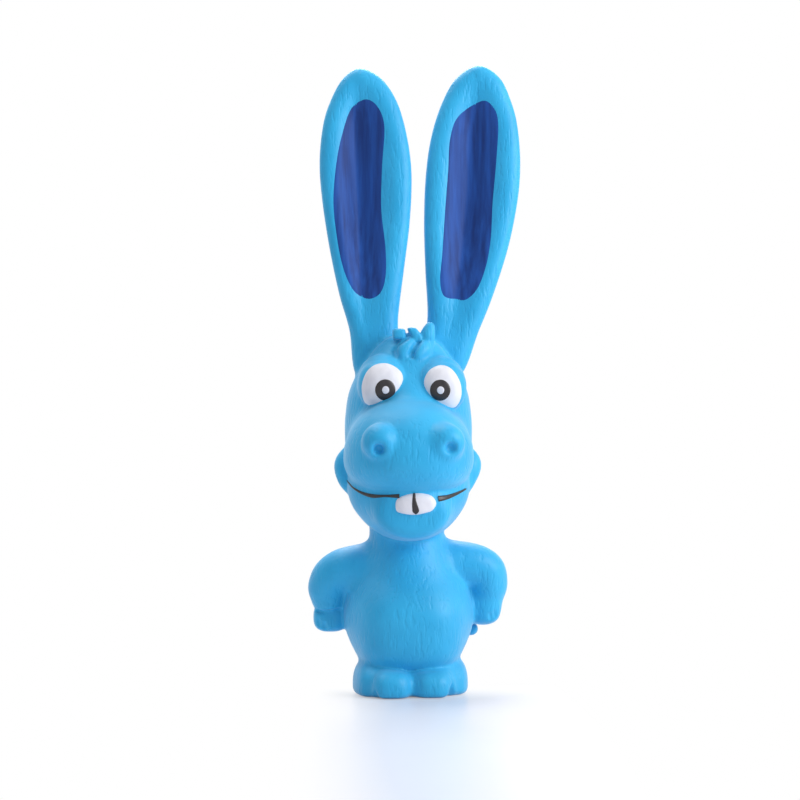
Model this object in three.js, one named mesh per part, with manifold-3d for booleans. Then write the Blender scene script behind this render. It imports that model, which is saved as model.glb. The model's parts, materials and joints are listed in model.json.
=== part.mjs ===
// A squeaky dog toy: a standing long-eared donkey moulded in soft latex, stuffed with fibre,
// with a reed whistle pressed into its base. Millimetres, +Z up, the face looks along -Y.
// Left and right are the toy's own, so its left side lies at +X.
import * as THREE from "three";
import { mergeVertices } from "three/addons/utils/BufferGeometryUtils.js";
import Module from "manifold-3d";

const wasm = await Module();
wasm.setup();

// Driving dimensions: clearances and walls
const GAP = 0.3; // between pieces that touch
const SKIN = 2.0; // latex wall
const PAINT = 0.5; // paint films, drawn thick enough to be solids

// Driving dimensions: torso, from its recessed base to the neck
const BASE_RECESS = 7;
const TORSO_HEIGHT = 46;
const TORSO_WIDTH = 47;
const TORSO_DEPTH = 46;
const NECK_DIAMETER = 25.2;
const NECK_SEAT_DEPTH = 7.3; // how far the neck reaches below its bending centre
const NECK_BORE = 20;

// Driving dimensions: the belly zone that gives when the toy is squeezed
const BELLY_ZONE_WIDTH = 27;
const BELLY_ZONE_HEIGHT = 27;

// Driving dimensions: head, from the neck's lower edge to the crown
const HEAD_HEIGHT = 79;
const HEAD_WIDTH = 46;
const HEAD_DEPTH = 43;
const MUZZLE = { width: 45.6, depth: 42, height: 33, above_neck: 36, forward: 17, power: 2.5 };
const JAW = { width: 37.4, depth: 37, height: 25, above_neck: 20.3, forward: 12.5, power: 2.2 };
const CHEEK = { width: 8, depth: 15, height: 15, above_neck: 31, apart: 44.6, forward: 14 };
const NOSTRIL = { mound: 14, hole: 4.4, depth: 3, apart: 25.6, above_muzzle: 2.6 };

// Driving dimensions: face details
const EYE = { width: 14.2, depth: 9, height: 15.2, apart: 20.8, above_muzzle: 8.2, tilt: 14, sunk: 0.8 };
const PUPIL = { diameter: 7.2, glint: 2.8, inward: 0.8, below_eye: 1.5 };
const BROW = { thickness: 3.4, reach: 1.2, arc: [120, 75, 25, -25] };
const TEETH = { width: 14.2, height: 7.8, depth: 5, proud: 3.4, below_muzzle: 17, power: 3 };
const PARTING = { width: 2.2, height: 5.6 };
const MOUTH_LINE = { thickness: 1.5, start: 7.6, end: 19.5, rise: 6 };
const FORELOCK = { lock: 4.2, spread: 5.2, length: 9 };

// Driving dimensions: ears, each a thick leaf folded back along a valley, so its back is round
const EAR_LENGTH = 103;
const EAR_WIDTH = 32;
const EAR_THICKNESS = 8.8;
const EAR_RIM_POWER = 2.6; // how full the rims are: 2 is an ellipse
const EAR_HOLLOW = 6; // how far the valley lies behind the rims
const EAR_FOLD = 0.14; // roundness of the valley, as a share of the half width
const EAR_VALLEY = { left: -0.06, right: -0.16 }; // the valley's place, in the same shares
const EAR_ASIDE = { left: 16.2, right: 11.7 }; // roots, from the middle of the head
const EAR_ROOT_BELOW_CROWN = 10;
const EAR_BEHIND = 3.5;
const EAR_HINGE = 20; // bending line above the root
const EAR_STUB_DROP = 4; // how far the fixed root stops below the bending line
const EAR_SPLAY = { left: 5.4, right: 2.9 }; // degrees outwards
const EAR_LEAN = 3; // degrees backwards
const LINING = { width: 17.8, length: 69, above_hinge: 2.2, power: 2.6 };
const LINING_ASIDE = { left: -0.7, right: -2.2 };

// Driving dimensions: limbs
const ARM = { shoulder: 13.6, elbow: 12.8, wrist: 10.4, fist: 12, reach: 69, height: 22.6 };
const FOOT_APART = 20.2;
const FOOT_POWER = 2.6;
const PAD = { width: 18.6, depth: 34.4, height: 21.2, aside: -0.2, forward: 2.2, raised: 3.2 };
const INNER_TOE = { width: 14.8, depth: 20.4, height: 14.4, aside: -3.1, forward: 14.4, raised: 2.5 };
const OUTER_TOE = { width: 9.4, depth: 20.8, height: 15.6, aside: 4.6, forward: 8.3, raised: 3 };
const TAIL = { thickness: 2.8, tuft: 4.2, height: 14.2 };

// Driving dimensions: whistle
const WHISTLE = { barrel: 12.6, bore: 10.4, length: 15, flange: 18, flange_thick: 1.2, sound_hole: 4.4 };
const SNAP_RIB = 0.9;
const LID = { thickness: 1.2, spigot: 1, vent: 1.5, vents: 6, vent_circle: 6.4 };
const REED = { width: 3.6, thickness: 0.35, free: 6.4, clamped: 1.2 };
const REED_SLOT = { width: 2.4, depth: 2.6 };
const WEDGE_HEIGHT = 3.2;

// Heights that follow from them
const neckCentreZ = BASE_RECESS + TORSO_HEIGHT + 2;
const neckLowZ = neckCentreZ - NECK_SEAT_DEPTH;
const crownZ = neckLowZ + HEAD_HEIGHT;
const neckSphere = Math.hypot(NECK_DIAMETER / 2, NECK_SEAT_DEPTH);

const LATEX = new THREE.MeshStandardMaterial({ color: 0x2fa5e3, roughness: 0.55, metalness: 0 });
const DARK_BLUE = new THREE.MeshStandardMaterial({ color: 0x2b4a9c, roughness: 0.4, metalness: 0 });
const WHITE = new THREE.MeshStandardMaterial({ color: 0xe6e6ec, roughness: 0.35, metalness: 0 });
const BLACK = new THREE.MeshStandardMaterial({ color: 0x262226, roughness: 0.35, metalness: 0 });
const FIBRE = new THREE.MeshStandardMaterial({ color: 0xf2f1ea, roughness: 1, metalness: 0 });
const PLASTIC = new THREE.MeshStandardMaterial({ color: 0xe9eaec, roughness: 0.45, metalness: 0 });
const REED_FILM = new THREE.MeshStandardMaterial({ color: 0xc9d4d8, roughness: 0.3, metalness: 0 });

// Outlines as [share of the height, share of the half width] pairs
const TORSO_OUTLINE = [[0, 0.62], [0.17, 0.76], [0.5, 1], [0.68, 0.92], [0.82, 0.75]];
const HEAD_OUTLINE = [
  [0.118, 0.58], [0.172, 0.67], [0.224, 0.8], [0.28, 0.9], [0.345, 0.97], [0.434, 1], [0.6, 0.965],
  [0.7, 0.93], [0.806, 0.85], [0.86, 0.79], [0.915, 0.67], [0.97, 0.42], [1, 0],
];
const HEAD_BACK_SHIFT = [[0, 0], [0.12, -0.05], [0.28, -0.08], [0.6, 0.02], [1, 0.1]];
const EAR_OUTLINE = [
  [-0.1, 0.42], [0, 0.47], [0.1, 0.54], [0.2, 0.66], [0.35, 0.83], [0.5, 0.95], [0.63, 1],
  [0.75, 0.96], [0.85, 0.81], [0.93, 0.58], [0.975, 0.36], [1, 0],
];
const EAR_FULLNESS = [[-0.1, 1], [0.2, 1], [0.6, 0.95], [0.85, 0.8], [0.95, 0.6], [1, 0.3]];

// Value at t of a smooth curve through [t, value] pairs: cubic pieces whose slopes follow the neighbours.
function along(pairs, t) {
  const last = pairs.length - 1;
  let i = 0;
  while (i < last - 1 && t > pairs[i + 1][0]) i++;
  const slope = (k) => {
    const a = pairs[Math.max(k - 1, 0)];
    const b = pairs[Math.min(k + 1, last)];
    return (b[1] - a[1]) / (b[0] - a[0]);
  };
  const span = pairs[i + 1][0] - pairs[i][0];
  const s = THREE.MathUtils.clamp((t - pairs[i][0]) / span, 0, 1);
  const rise = pairs[i + 1][1] - pairs[i][1];
  const bend = slope(i) * span - rise;
  const back = rise - slope(i + 1) * span;
  return pairs[i][1] + rise * s + s * (1 - s) * (bend * (1 - s) + back * s);
}

// Closed skin over a stack of rings with the same number of points; each end is closed by a fan.
function closedSkin(rings) {
  const sides = rings[0].length;
  const middle = (ring) => ring.reduce((sum, p) => sum.add(p), new THREE.Vector3()).divideScalar(sides);
  const points = [...rings.flat(), middle(rings[0]), middle(rings.at(-1))];
  const low = rings.length * sides;
  const top = (rings.length - 1) * sides;
  const index = [];
  for (let i = 0; i < sides; i++) {
    const j = (i + 1) % sides;
    index.push(low, j, i, low + 1, top + i, top + j);
    for (let k = 0; k < rings.length - 1; k++) {
      const a = k * sides;
      const b = a + sides;
      index.push(a + i, a + j, b + j, a + i, b + j, b + i);
    }
  }
  return new THREE.BufferGeometry().setFromPoints(points).setIndex(index);
}

// A ring of points at height z, half width w and half depth d, about (x, y).
function ellipseRing(sides, z, w, d, y = 0, x = 0) {
  return Array.from({ length: sides }, (_, i) => {
    const angle = (2 * Math.PI * i) / sides;
    return new THREE.Vector3(x + w * Math.cos(angle), y + d * Math.sin(angle), z);
  });
}

// Shares from 0 to 1 that lie closer together near both ends.
const easedShares = (steps) =>
  Array.from({ length: steps + 1 }, (_, i) => (1 - Math.cos((Math.PI * i) / steps)) / 2);

// Half width and half depth of the torso at a share of its height; the top is the round neck.
function torsoSection(share) {
  const neck = NECK_DIAMETER / 2;
  const width = along([...TORSO_OUTLINE, [1, NECK_DIAMETER / TORSO_WIDTH]], share) * (TORSO_WIDTH / 2);
  const depth = along([...TORSO_OUTLINE, [1, NECK_DIAMETER / TORSO_DEPTH]], share) * (TORSO_DEPTH / 2);
  return { w: Math.max(width, neck * 0.5), d: Math.max(depth, neck * 0.5) };
}

// The torso's outside, grown outwards or, with a negative value, inwards.
function torsoForm(grow = 0, steps = 11, sides = 22) {
  const rings = easedShares(steps).map((share) => {
    const { w, d } = torsoSection(share);
    const z = BASE_RECESS - grow + share * (TORSO_HEIGHT + 2 * grow);
    return ellipseRing(sides, z, w + grow, d + grow);
  });
  return solid(closedSkin(rings));
}

// Half width, half depth and middle of the head at a share of its height.
function headSection(share) {
  const neckPairs = (size) => [[0, NECK_DIAMETER / size], [0.065, (NECK_DIAMETER + 0.6) / size]];
  const width = along([...neckPairs(HEAD_WIDTH), ...HEAD_OUTLINE], share) * (HEAD_WIDTH / 2);
  const depth = along([...neckPairs(HEAD_DEPTH), ...HEAD_OUTLINE], share) * (HEAD_DEPTH / 2);
  return { w: width, d: depth, y: along(HEAD_BACK_SHIFT, share) * (HEAD_DEPTH / 2) };
}

function headForm(grow = 0, steps = 13, sides = 22) {
  const smallest = 0.6;
  const rings = easedShares(steps).map((share) => {
    const { w, d, y } = headSection(share);
    const z = neckLowZ - grow + share * (HEAD_HEIGHT + 2 * grow);
    return ellipseRing(sides, z, Math.max(w + grow, smallest), Math.max(d + grow, smallest), y);
  });
  return solid(closedSkin(rings));
}

// Where the head's front surface lies at a given place across and height.
function headFrontY(x, z) {
  const { w, d, y } = headSection((z - neckLowZ) / HEAD_HEIGHT);
  return y - d * Math.sqrt(Math.max(0, 1 - (x / w) ** 2));
}

// A ball pressed towards a box: radii along X, Y and Z; power 2 is an ellipsoid, more is squarer.
function lump(size, centre, { power = 2, grow = 0, turn = 0, rows = 8 } = {}) {
  const geometry = new THREE.SphereGeometry(1, rows * 2, rows);
  const place = geometry.getAttribute("position");
  const point = new THREE.Vector3();
  for (let i = 0; i < place.count; i++) {
    point.fromBufferAttribute(place, i);
    const sum = Math.abs(point.x) ** power + Math.abs(point.y) ** power + Math.abs(point.z) ** power;
    point.multiplyScalar(sum ** (-1 / power));
    place.setXYZ(i, ...point);
  }
  geometry.scale(size[0] / 2 + grow, size[1] / 2 + grow, size[2] / 2 + grow);
  geometry.rotateY(THREE.MathUtils.degToRad(turn));
  geometry.translate(...centre);
  return solid(geometry);
}

// A tapering limb along a smooth line through points, with a radius at each of them.
function limb(points, radii, { steps = 8, sides = 8, grow = 0 } = {}) {
  const line = new THREE.CatmullRomCurve3(points);
  const { normals, binormals } = line.computeFrenetFrames(steps);
  const pairs = radii.map((r, i) => [i / (radii.length - 1), r]);
  const rings = Array.from({ length: steps + 1 }, (_, k) => {
    const middle = line.getPointAt(k / steps);
    const r = along(pairs, line.getUtoTmapping(k / steps)) + grow;
    return Array.from({ length: sides }, (_unused, i) => {
      const angle = (2 * Math.PI * i) / sides;
      return middle.clone()
        .addScaledVector(normals[k], r * Math.cos(angle))
        .addScaledVector(binormals[k], r * Math.sin(angle));
    });
  });
  return solid(closedSkin(rings));
}

// An upright round bar from z0 to z1.
function bar(radius, z0, z1, [x, y] = [0, 0], sides = 18) {
  const geometry = new THREE.CylinderGeometry(radius, radius, z1 - z0, sides);
  geometry.rotateX(Math.PI / 2).translate(x, y, (z0 + z1) / 2);
  return solid(geometry);
}

// A block between two corners.
function block(low, high) {
  const geometry = new THREE.BoxGeometry(high[0] - low[0], high[1] - low[1], high[2] - low[2]);
  geometry.translate((low[0] + high[0]) / 2, (low[1] + high[1]) / 2, (low[2] + high[2]) / 2);
  return solid(geometry);
}

// A rounded outline in X and Z pushed along -Y from y0 to y1: power 2 is an ellipse.
function facePrism(width, height, [x, z], y0, y1, { power = 2, sides = 20 } = {}) {
  const soften = (v) => Math.sign(v) * Math.abs(v) ** (2 / power);
  const outline = Array.from({ length: sides }, (_, i) => {
    const angle = (2 * Math.PI * i) / sides;
    return new THREE.Vector2((width / 2) * soften(Math.cos(angle)), (height / 2) * soften(Math.sin(angle)));
  });
  const options = { depth: y0 - y1, bevelEnabled: false };
  const geometry = new THREE.ExtrudeGeometry(new THREE.Shape(outline), options);
  return geometry.rotateX(Math.PI / 2).translate(x, y0, z);
}

// Geometry to a solid for joining and cutting, and back to a drawn mesh.
function solid(geometry) {
  const bare = geometry.clone();
  bare.deleteAttribute("normal");
  bare.deleteAttribute("uv");
  const merged = mergeVertices(bare, 1e-4);
  const vertProperties = new Float32Array(merged.getAttribute("position").array);
  const triVerts = new Uint32Array(merged.index.array);
  return new wasm.Manifold(new wasm.Mesh({ numProp: 3, vertProperties, triVerts }));
}

function addPiece(group, name, form, material) {
  const { numProp, vertProperties, triVerts } = form.getMesh();
  const points = [];
  for (let i = 0; i < vertProperties.length; i += numProp) {
    points.push(new THREE.Vector3(...vertProperties.subarray(i, i + 3)));
  }
  const geometry = new THREE.BufferGeometry().setFromPoints(points).setIndex([...triVerts]);
  group.updateWorldMatrix(true, false);
  geometry.applyMatrix4(group.matrixWorld.clone().invert());
  geometry.computeVertexNormals();
  const mesh = new THREE.Mesh(geometry, material);
  mesh.name = name;
  group.add(mesh);
}

// A group whose origin is the centre that its pieces move about.
function pivotGroup(parent, name, [x, y, z]) {
  const group = new THREE.Group();
  group.name = name;
  parent.updateWorldMatrix(true, false);
  group.position.copy(parent.worldToLocal(new THREE.Vector3(x, y, z)));
  parent.add(group);
  return group;
}

const cutAll = (form, ...cutters) => cutters.reduce((left, cutter) => left.subtract(cutter), form);

// The largest of the separate bodies that a cut leaves.
const largest = (form) => form.decompose().sort((a, b) => b.volume() - a.volume())[0];

// A film that follows a form: from the gap to the paint's thickness outside it, inside the cutter.
const film = (grown, cutter) => largest(grown(GAP + PAINT).subtract(grown(GAP)).intersect(cutter));

const SIDES = { left: 1, right: -1 };
const toy = new THREE.Group();
const torso = pivotGroup(toy, "torso", [0, 0, 0]);

// Torso: a hollow latex skin with a hole in its base for the whistle and a seat for the neck
const boreRadius = WHISTLE.barrel / 2 + GAP;
const baseTopZ = BASE_RECESS + SKIN;
const cavity = (grow, ...fineness) => {
  const room = torsoForm(-SKIN + grow, ...fineness);
  const roofZ = neckLowZ - SKIN - 1 + grow;
  const roof = block([-TORSO_WIDTH, -TORSO_DEPTH, roofZ], [TORSO_WIDTH, TORSO_DEPTH, crownZ]);
  return room.subtract(roof);
};
const neckBall = [2 * neckSphere, 2 * neckSphere, 2 * neckSphere];
const neckSeat = lump(neckBall, [0, 0, neckCentreZ], { grow: GAP, rows: 12 });
const neckBore = bar(NECK_BORE / 2, neckLowZ - 2 * SKIN - 2, crownZ);
const baseHole = bar(boreRadius, BASE_RECESS - 1, baseTopZ + 1);
const torsoShell = cutAll(torsoForm(), cavity(0), neckSeat, neckBore, baseHole);

// The belly zone is cut out of the same skin, so that it can travel inwards
const bellyZ = BASE_RECESS + 0.5 * TORSO_HEIGHT;
const bellyPrism = (grow) =>
  solid(facePrism(BELLY_ZONE_WIDTH + 2 * grow, BELLY_ZONE_HEIGHT + 2 * grow, [0, bellyZ], 0, -TORSO_DEPTH));
const belly = pivotGroup(torso, "belly", [0, -TORSO_DEPTH / 2, bellyZ]);
addPiece(torso, "torso_skin", torsoShell.subtract(bellyPrism(GAP)), LATEX);
addPiece(belly, "belly_wall", largest(torsoShell.intersect(bellyPrism(0))), LATEX);

// Fibre filling, packed round the whistle
const whistleTopZ = BASE_RECESS - GAP + WHISTLE.length;
const lidTopZ = whistleTopZ + GAP + LID.thickness;
const whistleRoom = bar(WHISTLE.barrel / 2 + SNAP_RIB + 2 * GAP, BASE_RECESS - 1, lidTopZ + GAP);
addPiece(torso, "body_fill", cutAll(cavity(-GAP, 11, 16), whistleRoom), FIBRE);

// Feet: a broad pad with two toes in front, flat underneath, recessed round the whistle
const soleRecess = bar(WHISTLE.flange / 2 + 1.5, -1, BASE_RECESS + PAD.height);
const ground = block([-TORSO_WIDTH, -TORSO_DEPTH, -PAD.height], [TORSO_WIDTH, TORSO_DEPTH, 0]);
const betweenFeet = block([-GAP / 2, -TORSO_DEPTH, -1], [GAP / 2, TORSO_DEPTH, PAD.height]);
function footForm(side) {
  const [pad, ...toes] = [PAD, INNER_TOE, OUTER_TOE].map((part) => {
    const centre = [side * (FOOT_APART / 2 + part.aside), -part.forward, part.raised];
    return lump([part.width, part.depth, part.height], centre, { power: FOOT_POWER });
  });
  const whole = toes.reduce((form, toe) => form.add(toe), pad);
  return largest(cutAll(whole, ground, torsoForm(GAP), betweenFeet, soleRecess));
}

// Arms: hands on hips, elbows out, each closed against the torso
function armForm(side) {
  const shoulderZ = BASE_RECESS + TORSO_HEIGHT * 0.87;
  const elbowX = ARM.reach / 2 - ARM.elbow / 2;
  const fistLowZ = shoulderZ - ARM.height;
  const points = [
    [TORSO_WIDTH * 0.14, 0, shoulderZ - 1], [elbowX * 0.64, 0, shoulderZ - 0.5],
    [elbowX * 0.94, 1, shoulderZ - 2.8], [elbowX, 2.5, shoulderZ - 7.5],
    [elbowX, 4, fistLowZ + ARM.fist * 0.74], [elbowX - 1.2, 4, fistLowZ + ARM.fist * 0.35],
    [elbowX - 2, 3.6, fistLowZ + 0.6],
  ].map(([x, y, z]) => new THREE.Vector3(side * x, y, z));
  const { shoulder, elbow, wrist, fist } = ARM;
  const radii = [shoulder, shoulder, elbow * 1.05, elbow, wrist, fist, fist * 0.2].map((d) => d / 2);
  return largest(limb(points, radii, { steps: 11, sides: 10 }).subtract(torsoForm(GAP)));
}

for (const [name, side] of Object.entries(SIDES)) {
  addPiece(torso, `foot_${name}`, footForm(side), LATEX);
  addPiece(torso, `arm_${name}`, cutAll(armForm(side), neckSeat), LATEX);
}

// Tail: a thin stem that starts behind and curls round the left hip, ending in a tuft
const tailZ = BASE_RECESS + TAIL.height;
const tailSection = torsoSection(TAIL.height / TORSO_HEIGHT);
const tailPoint = (degrees, rise, away) => {
  const angle = THREE.MathUtils.degToRad(degrees);
  const reach = (r) => r + TAIL.thickness / 2 + GAP + away;
  return new THREE.Vector3(
    reach(tailSection.w) * Math.cos(angle), reach(tailSection.d) * Math.sin(angle), tailZ + rise);
};
const tailRoot = tailPoint(90, 1, 0);
const tail = pivotGroup(torso, "tail", tailRoot.toArray());
const stemPoints = [tailRoot, tailPoint(72, -1.5, 0.6), tailPoint(52, -2, 0.8), tailPoint(36, 0, 0.6)];
const stemRadius = TAIL.thickness / 2;
const stemRadii = [stemRadius, stemRadius, stemRadius * 0.8, stemRadius * 0.8];
const tuftTurns = [[35, 0.1, 0.7], [29, 0.6, 1], [21, 0.6, 0.9], [16, 0.2, 0.6]];
const tuftPoints = tuftTurns.map((place) => tailPoint(...place));
const tuftRadii = [TAIL.tuft * 0.28, TAIL.tuft / 2, TAIL.tuft * 0.44, 0.3];
const tailStem = cutAll(limb(stemPoints, stemRadii, { sides: 6 }), torsoForm(GAP));
const stemRoom = limb(stemPoints, stemRadii, { sides: 6, grow: GAP });
const tailTuft = cutAll(limb(tuftPoints, tuftRadii, { steps: 6, sides: 6 }), torsoForm(GAP), stemRoom);
addPiece(tail, "tail", tailStem, LATEX);
addPiece(tail, "tail_tuft", largest(tailTuft), LATEX);

// Whistle: a cup snapped into the base, with a slotted reed block, a wedge and a vented lid
const flangeTopZ = BASE_RECESS - GAP;
const flangeLowZ = flangeTopZ - WHISTLE.flange_thick;
const barrelRadius = WHISTLE.barrel / 2;
const cupBore = bar(WHISTLE.bore / 2, flangeTopZ, whistleTopZ + 1);
const snapRib = bar(barrelRadius + SNAP_RIB, baseTopZ + GAP, baseTopZ + GAP + SNAP_RIB);
const cup = bar(WHISTLE.flange / 2, flangeLowZ, flangeTopZ, [0, 0], 24)
  .add(bar(barrelRadius, flangeLowZ, whistleTopZ))
  .add(snapRib);
const soundHole = bar(WHISTLE.sound_hole / 2, flangeLowZ - 1, flangeTopZ + 1);
addPiece(torso, "squeaker_cup", cutAll(cup, cupBore, soundHole), PLASTIC);

const ventHoles = Array.from({ length: LID.vents }, (_, i) => {
  const angle = (2 * Math.PI * i) / LID.vents;
  const centre = [(LID.vent_circle / 2) * Math.cos(angle), (LID.vent_circle / 2) * Math.sin(angle)];
  return bar(LID.vent / 2, whistleTopZ - LID.spigot - 1, lidTopZ + 1, centre, 8);
});
const insideRadius = WHISTLE.bore / 2 - GAP;
const lid = bar(barrelRadius, whistleTopZ + GAP, lidTopZ)
  .add(bar(insideRadius, whistleTopZ - LID.spigot, whistleTopZ + GAP + 0.1));
addPiece(torso, "squeaker_lid", cutAll(lid, ...ventHoles), PLASTIC);

// The reed hangs from the wedge and covers the slot in the block's flat face
const innerTopZ = whistleTopZ - LID.spigot - GAP;
const innerLowZ = flangeTopZ + GAP;
const reedAxisZ = innerTopZ - WEDGE_HEIGHT;
const reedBackY = -GAP;
const reedFrontY = reedBackY - REED.thickness;
const wedgeFaceY = reedFrontY - GAP;
const core = bar(insideRadius, innerLowZ, innerTopZ);
const behindReed = block([-WHISTLE.bore, 0, 0], [WHISTLE.bore, WHISTLE.bore, crownZ]);
const beforeReed = block([-WHISTLE.bore, -WHISTLE.bore, reedAxisZ], [WHISTLE.bore, wedgeFaceY, crownZ]);
const slot = block([-REED_SLOT.width / 2, -1, 0], [REED_SLOT.width / 2, REED_SLOT.depth, reedAxisZ - 1]);
addPiece(torso, "reed_block", core.intersect(behindReed).subtract(slot), PLASTIC);
addPiece(torso, "reed_wedge", core.intersect(beforeReed), PLASTIC);
const reed = pivotGroup(torso, "reed", [0, (reedBackY + reedFrontY) / 2, reedAxisZ]);
const tongueLow = [-REED.width / 2, reedFrontY, reedAxisZ - REED.free];
const tongueHigh = [REED.width / 2, reedBackY, reedAxisZ + REED.clamped];
addPiece(reed, "reed_tongue", block(tongueLow, tongueHigh), REED_FILM);

// Head: a hollow latex skin on the neck, with its own filling
const head = pivotGroup(torso, "head", [0, 0, neckCentreZ]);
const headRoom = (grow, ...fineness) => {
  const floor = block([-HEAD_WIDTH, -HEAD_DEPTH, 0], [HEAD_WIDTH, HEAD_DEPTH, neckCentreZ + 4 - grow]);
  return headForm(-SKIN + grow, ...fineness).subtract(floor);
};
const throat = bar(NECK_BORE / 2, neckLowZ - 2, neckCentreZ + 8);
addPiece(head, "head_skin", cutAll(headForm(), headRoom(0), throat), LATEX);
addPiece(head, "head_fill", headRoom(-GAP, 13, 16), FIBRE);

// Muzzle, jaw and cheeks, each cut by the larger forms
const faceCentre = (part) => [0, -part.forward, neckLowZ + part.above_neck];
const sizeOf = (part) => [part.width, part.depth, part.height];
const muzzleCentre = faceCentre(MUZZLE);
const nostrilZ = muzzleCentre[2] + NOSTRIL.above_muzzle;
const muzzleFrontY = muzzleCentre[1] - MUZZLE.depth / 2;
function muzzleForm(grow = 0) {
  let form = lump(sizeOf(MUZZLE), muzzleCentre, { power: MUZZLE.power, grow, rows: 10 });
  for (const side of Object.values(SIDES)) {
    const centre = [(side * NOSTRIL.apart) / 2, muzzleFrontY + 6, nostrilZ];
    form = form.add(lump([NOSTRIL.mound, NOSTRIL.mound, NOSTRIL.mound], centre, { grow, rows: 6 }));
  }
  return form;
}
const jawForm = (grow = 0) => lump(sizeOf(JAW), faceCentre(JAW), { power: JAW.power, grow });
const nostrilHoles = Object.values(SIDES).map((side) => {
  const centre = [(side * NOSTRIL.apart) / 2, muzzleFrontY - 0.4, nostrilZ - 1];
  return lump([NOSTRIL.hole, 2 * NOSTRIL.depth, NOSTRIL.hole], centre, { rows: 6 });
});
addPiece(head, "muzzle", largest(cutAll(muzzleForm(), headForm(GAP), ...nostrilHoles)), LATEX);
addPiece(head, "jaw", largest(cutAll(jawForm(), headForm(GAP), muzzleForm(GAP))), LATEX);

// Teeth hang from the muzzle over the jaw, with a dark parting painted down the middle
const jawFrontY = -JAW.forward - JAW.depth / 2;
const teethY = jawFrontY - TEETH.proud + TEETH.depth;
const teethCentre = [0, teethY, muzzleCentre[2] - TEETH.below_muzzle];
const teethForm = (grow = 0) =>
  lump([TEETH.width, 2 * TEETH.depth, TEETH.height], teethCentre, { power: TEETH.power, grow, rows: 6 });
const teeth = largest(cutAll(teethForm(), muzzleForm(GAP), jawForm(GAP), headForm(GAP)));
addPiece(head, "front_teeth", teeth, WHITE);
const partingZ = teethCentre[2] - 0.4;
const partingEnds = [teethCentre[1], teethCentre[1] - 4 * TEETH.depth];
const partingPrism = solid(facePrism(PARTING.width, PARTING.height, [0, partingZ], ...partingEnds));
addPiece(head, "tooth_parting", largest(film(teethForm, partingPrism).subtract(muzzleForm(GAP))), BLACK);

// Mouth lines: strokes painted along the crease between muzzle and jaw
const creaseZ = (x) => teethCentre[2] + TEETH.height * 0.3 + MOUTH_LINE.rise * (x / MOUTH_LINE.end) ** 3;
function mouthStroke(side) {
  const edge = (offset) => Array.from({ length: 9 }, (_, i) => {
    const x = THREE.MathUtils.lerp(MOUTH_LINE.start, MOUTH_LINE.end, i / 8);
    return new THREE.Vector2(side * x, creaseZ(x) + offset);
  });
  const half = MOUTH_LINE.thickness / 2;
  const outline = new THREE.Shape([...edge(-half), ...edge(half).reverse()]);
  const options = { depth: MUZZLE.depth, bevelEnabled: false };
  const prism = new THREE.ExtrudeGeometry(outline, options).rotateX(Math.PI / 2);
  return solid(prism.translate(0, muzzleCentre[1], 0));
}
const lips = (grow) => muzzleForm(grow).add(jawForm(grow));

// Ears: long folded leaves that bend about a line just above their roots
const hingeRadius = EAR_THICKNESS / 2;
const hingeShare = EAR_HINGE / EAR_LENGTH;
const hollowAlong = [
  [0, 0], [hingeShare, 0], [0.27, 0.46], [0.37, 0.85], [0.65, 1], [0.83, 0.66], [0.93, 0.2], [1, 0],
];
function earRing(name, share, thickness, grow, sides = 20) {
  const w = Math.max(along(EAR_OUTLINE, share) * (EAR_WIDTH / 2), 0.5) + grow;
  const hollow = EAR_HOLLOW * Math.max(0, along(hollowAlong, share));
  const fuller = (v) => Math.sign(v) * Math.abs(v) ** (2 / EAR_RIM_POWER);
  return ellipseRing(sides, share * EAR_LENGTH, 1, 1).map((p) => {
    const across = fuller(p.x);
    const outwards = Math.abs(across); // 0 in the valley, 1 at the rim
    const fold = Math.max(0, 1 - Math.hypot(outwards, EAR_FOLD)) / (1 - EAR_FOLD);
    const x = w * (across + EAR_VALLEY[name] * (1 - outwards));
    return p.set(x, (thickness + grow) * fuller(p.y) + hollow * fold ** 2, p.z);
  });
}
const earThickness = (share) => hingeRadius * along(EAR_FULLNESS, share);
function earBlade(name, frame, grow = 0) {
  const knuckle = [18, 36, 54, 72].map((degrees) => {
    const angle = THREE.MathUtils.degToRad(degrees);
    const share = (EAR_HINGE - (hingeRadius + grow) * Math.cos(angle)) / EAR_LENGTH;
    return earRing(name, share, (hingeRadius + grow) * Math.sin(angle) - grow, grow);
  });
  const blade = Array.from({ length: 13 }, (_, i) => {
    const share = hingeShare + (1 - hingeShare) * Math.sin((Math.PI / 2) * (i / 12));
    return earRing(name, share, earThickness(share), grow);
  });
  return solid(closedSkin([...knuckle, ...blade]).applyMatrix4(frame));
}
function earRoot(name, frame, grow = 0) {
  const top = (EAR_HINGE - EAR_STUB_DROP) / EAR_LENGTH;
  const shares = [-0.1, -0.03, 0.03, 0.08, 0.12, top];
  const rings = shares.map((share) => earRing(name, share, hingeRadius * 1.06, grow, 16));
  return solid(closedSkin(rings).applyMatrix4(frame));
}
function earFrame(name, side) {
  const turn = new THREE.Euler(
    THREE.MathUtils.degToRad(-EAR_LEAN), THREE.MathUtils.degToRad(side * EAR_SPLAY[name]), 0, "YXZ");
  const root = new THREE.Vector3(side * EAR_ASIDE[name], EAR_BEHIND, crownZ - EAR_ROOT_BELOW_CROWN);
  const frame = new THREE.Matrix4().makeRotationFromEuler(turn).setPosition(root);
  return { frame, turn, hinge: new THREE.Vector3(0, 0, EAR_HINGE).applyMatrix4(frame) };
}

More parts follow.
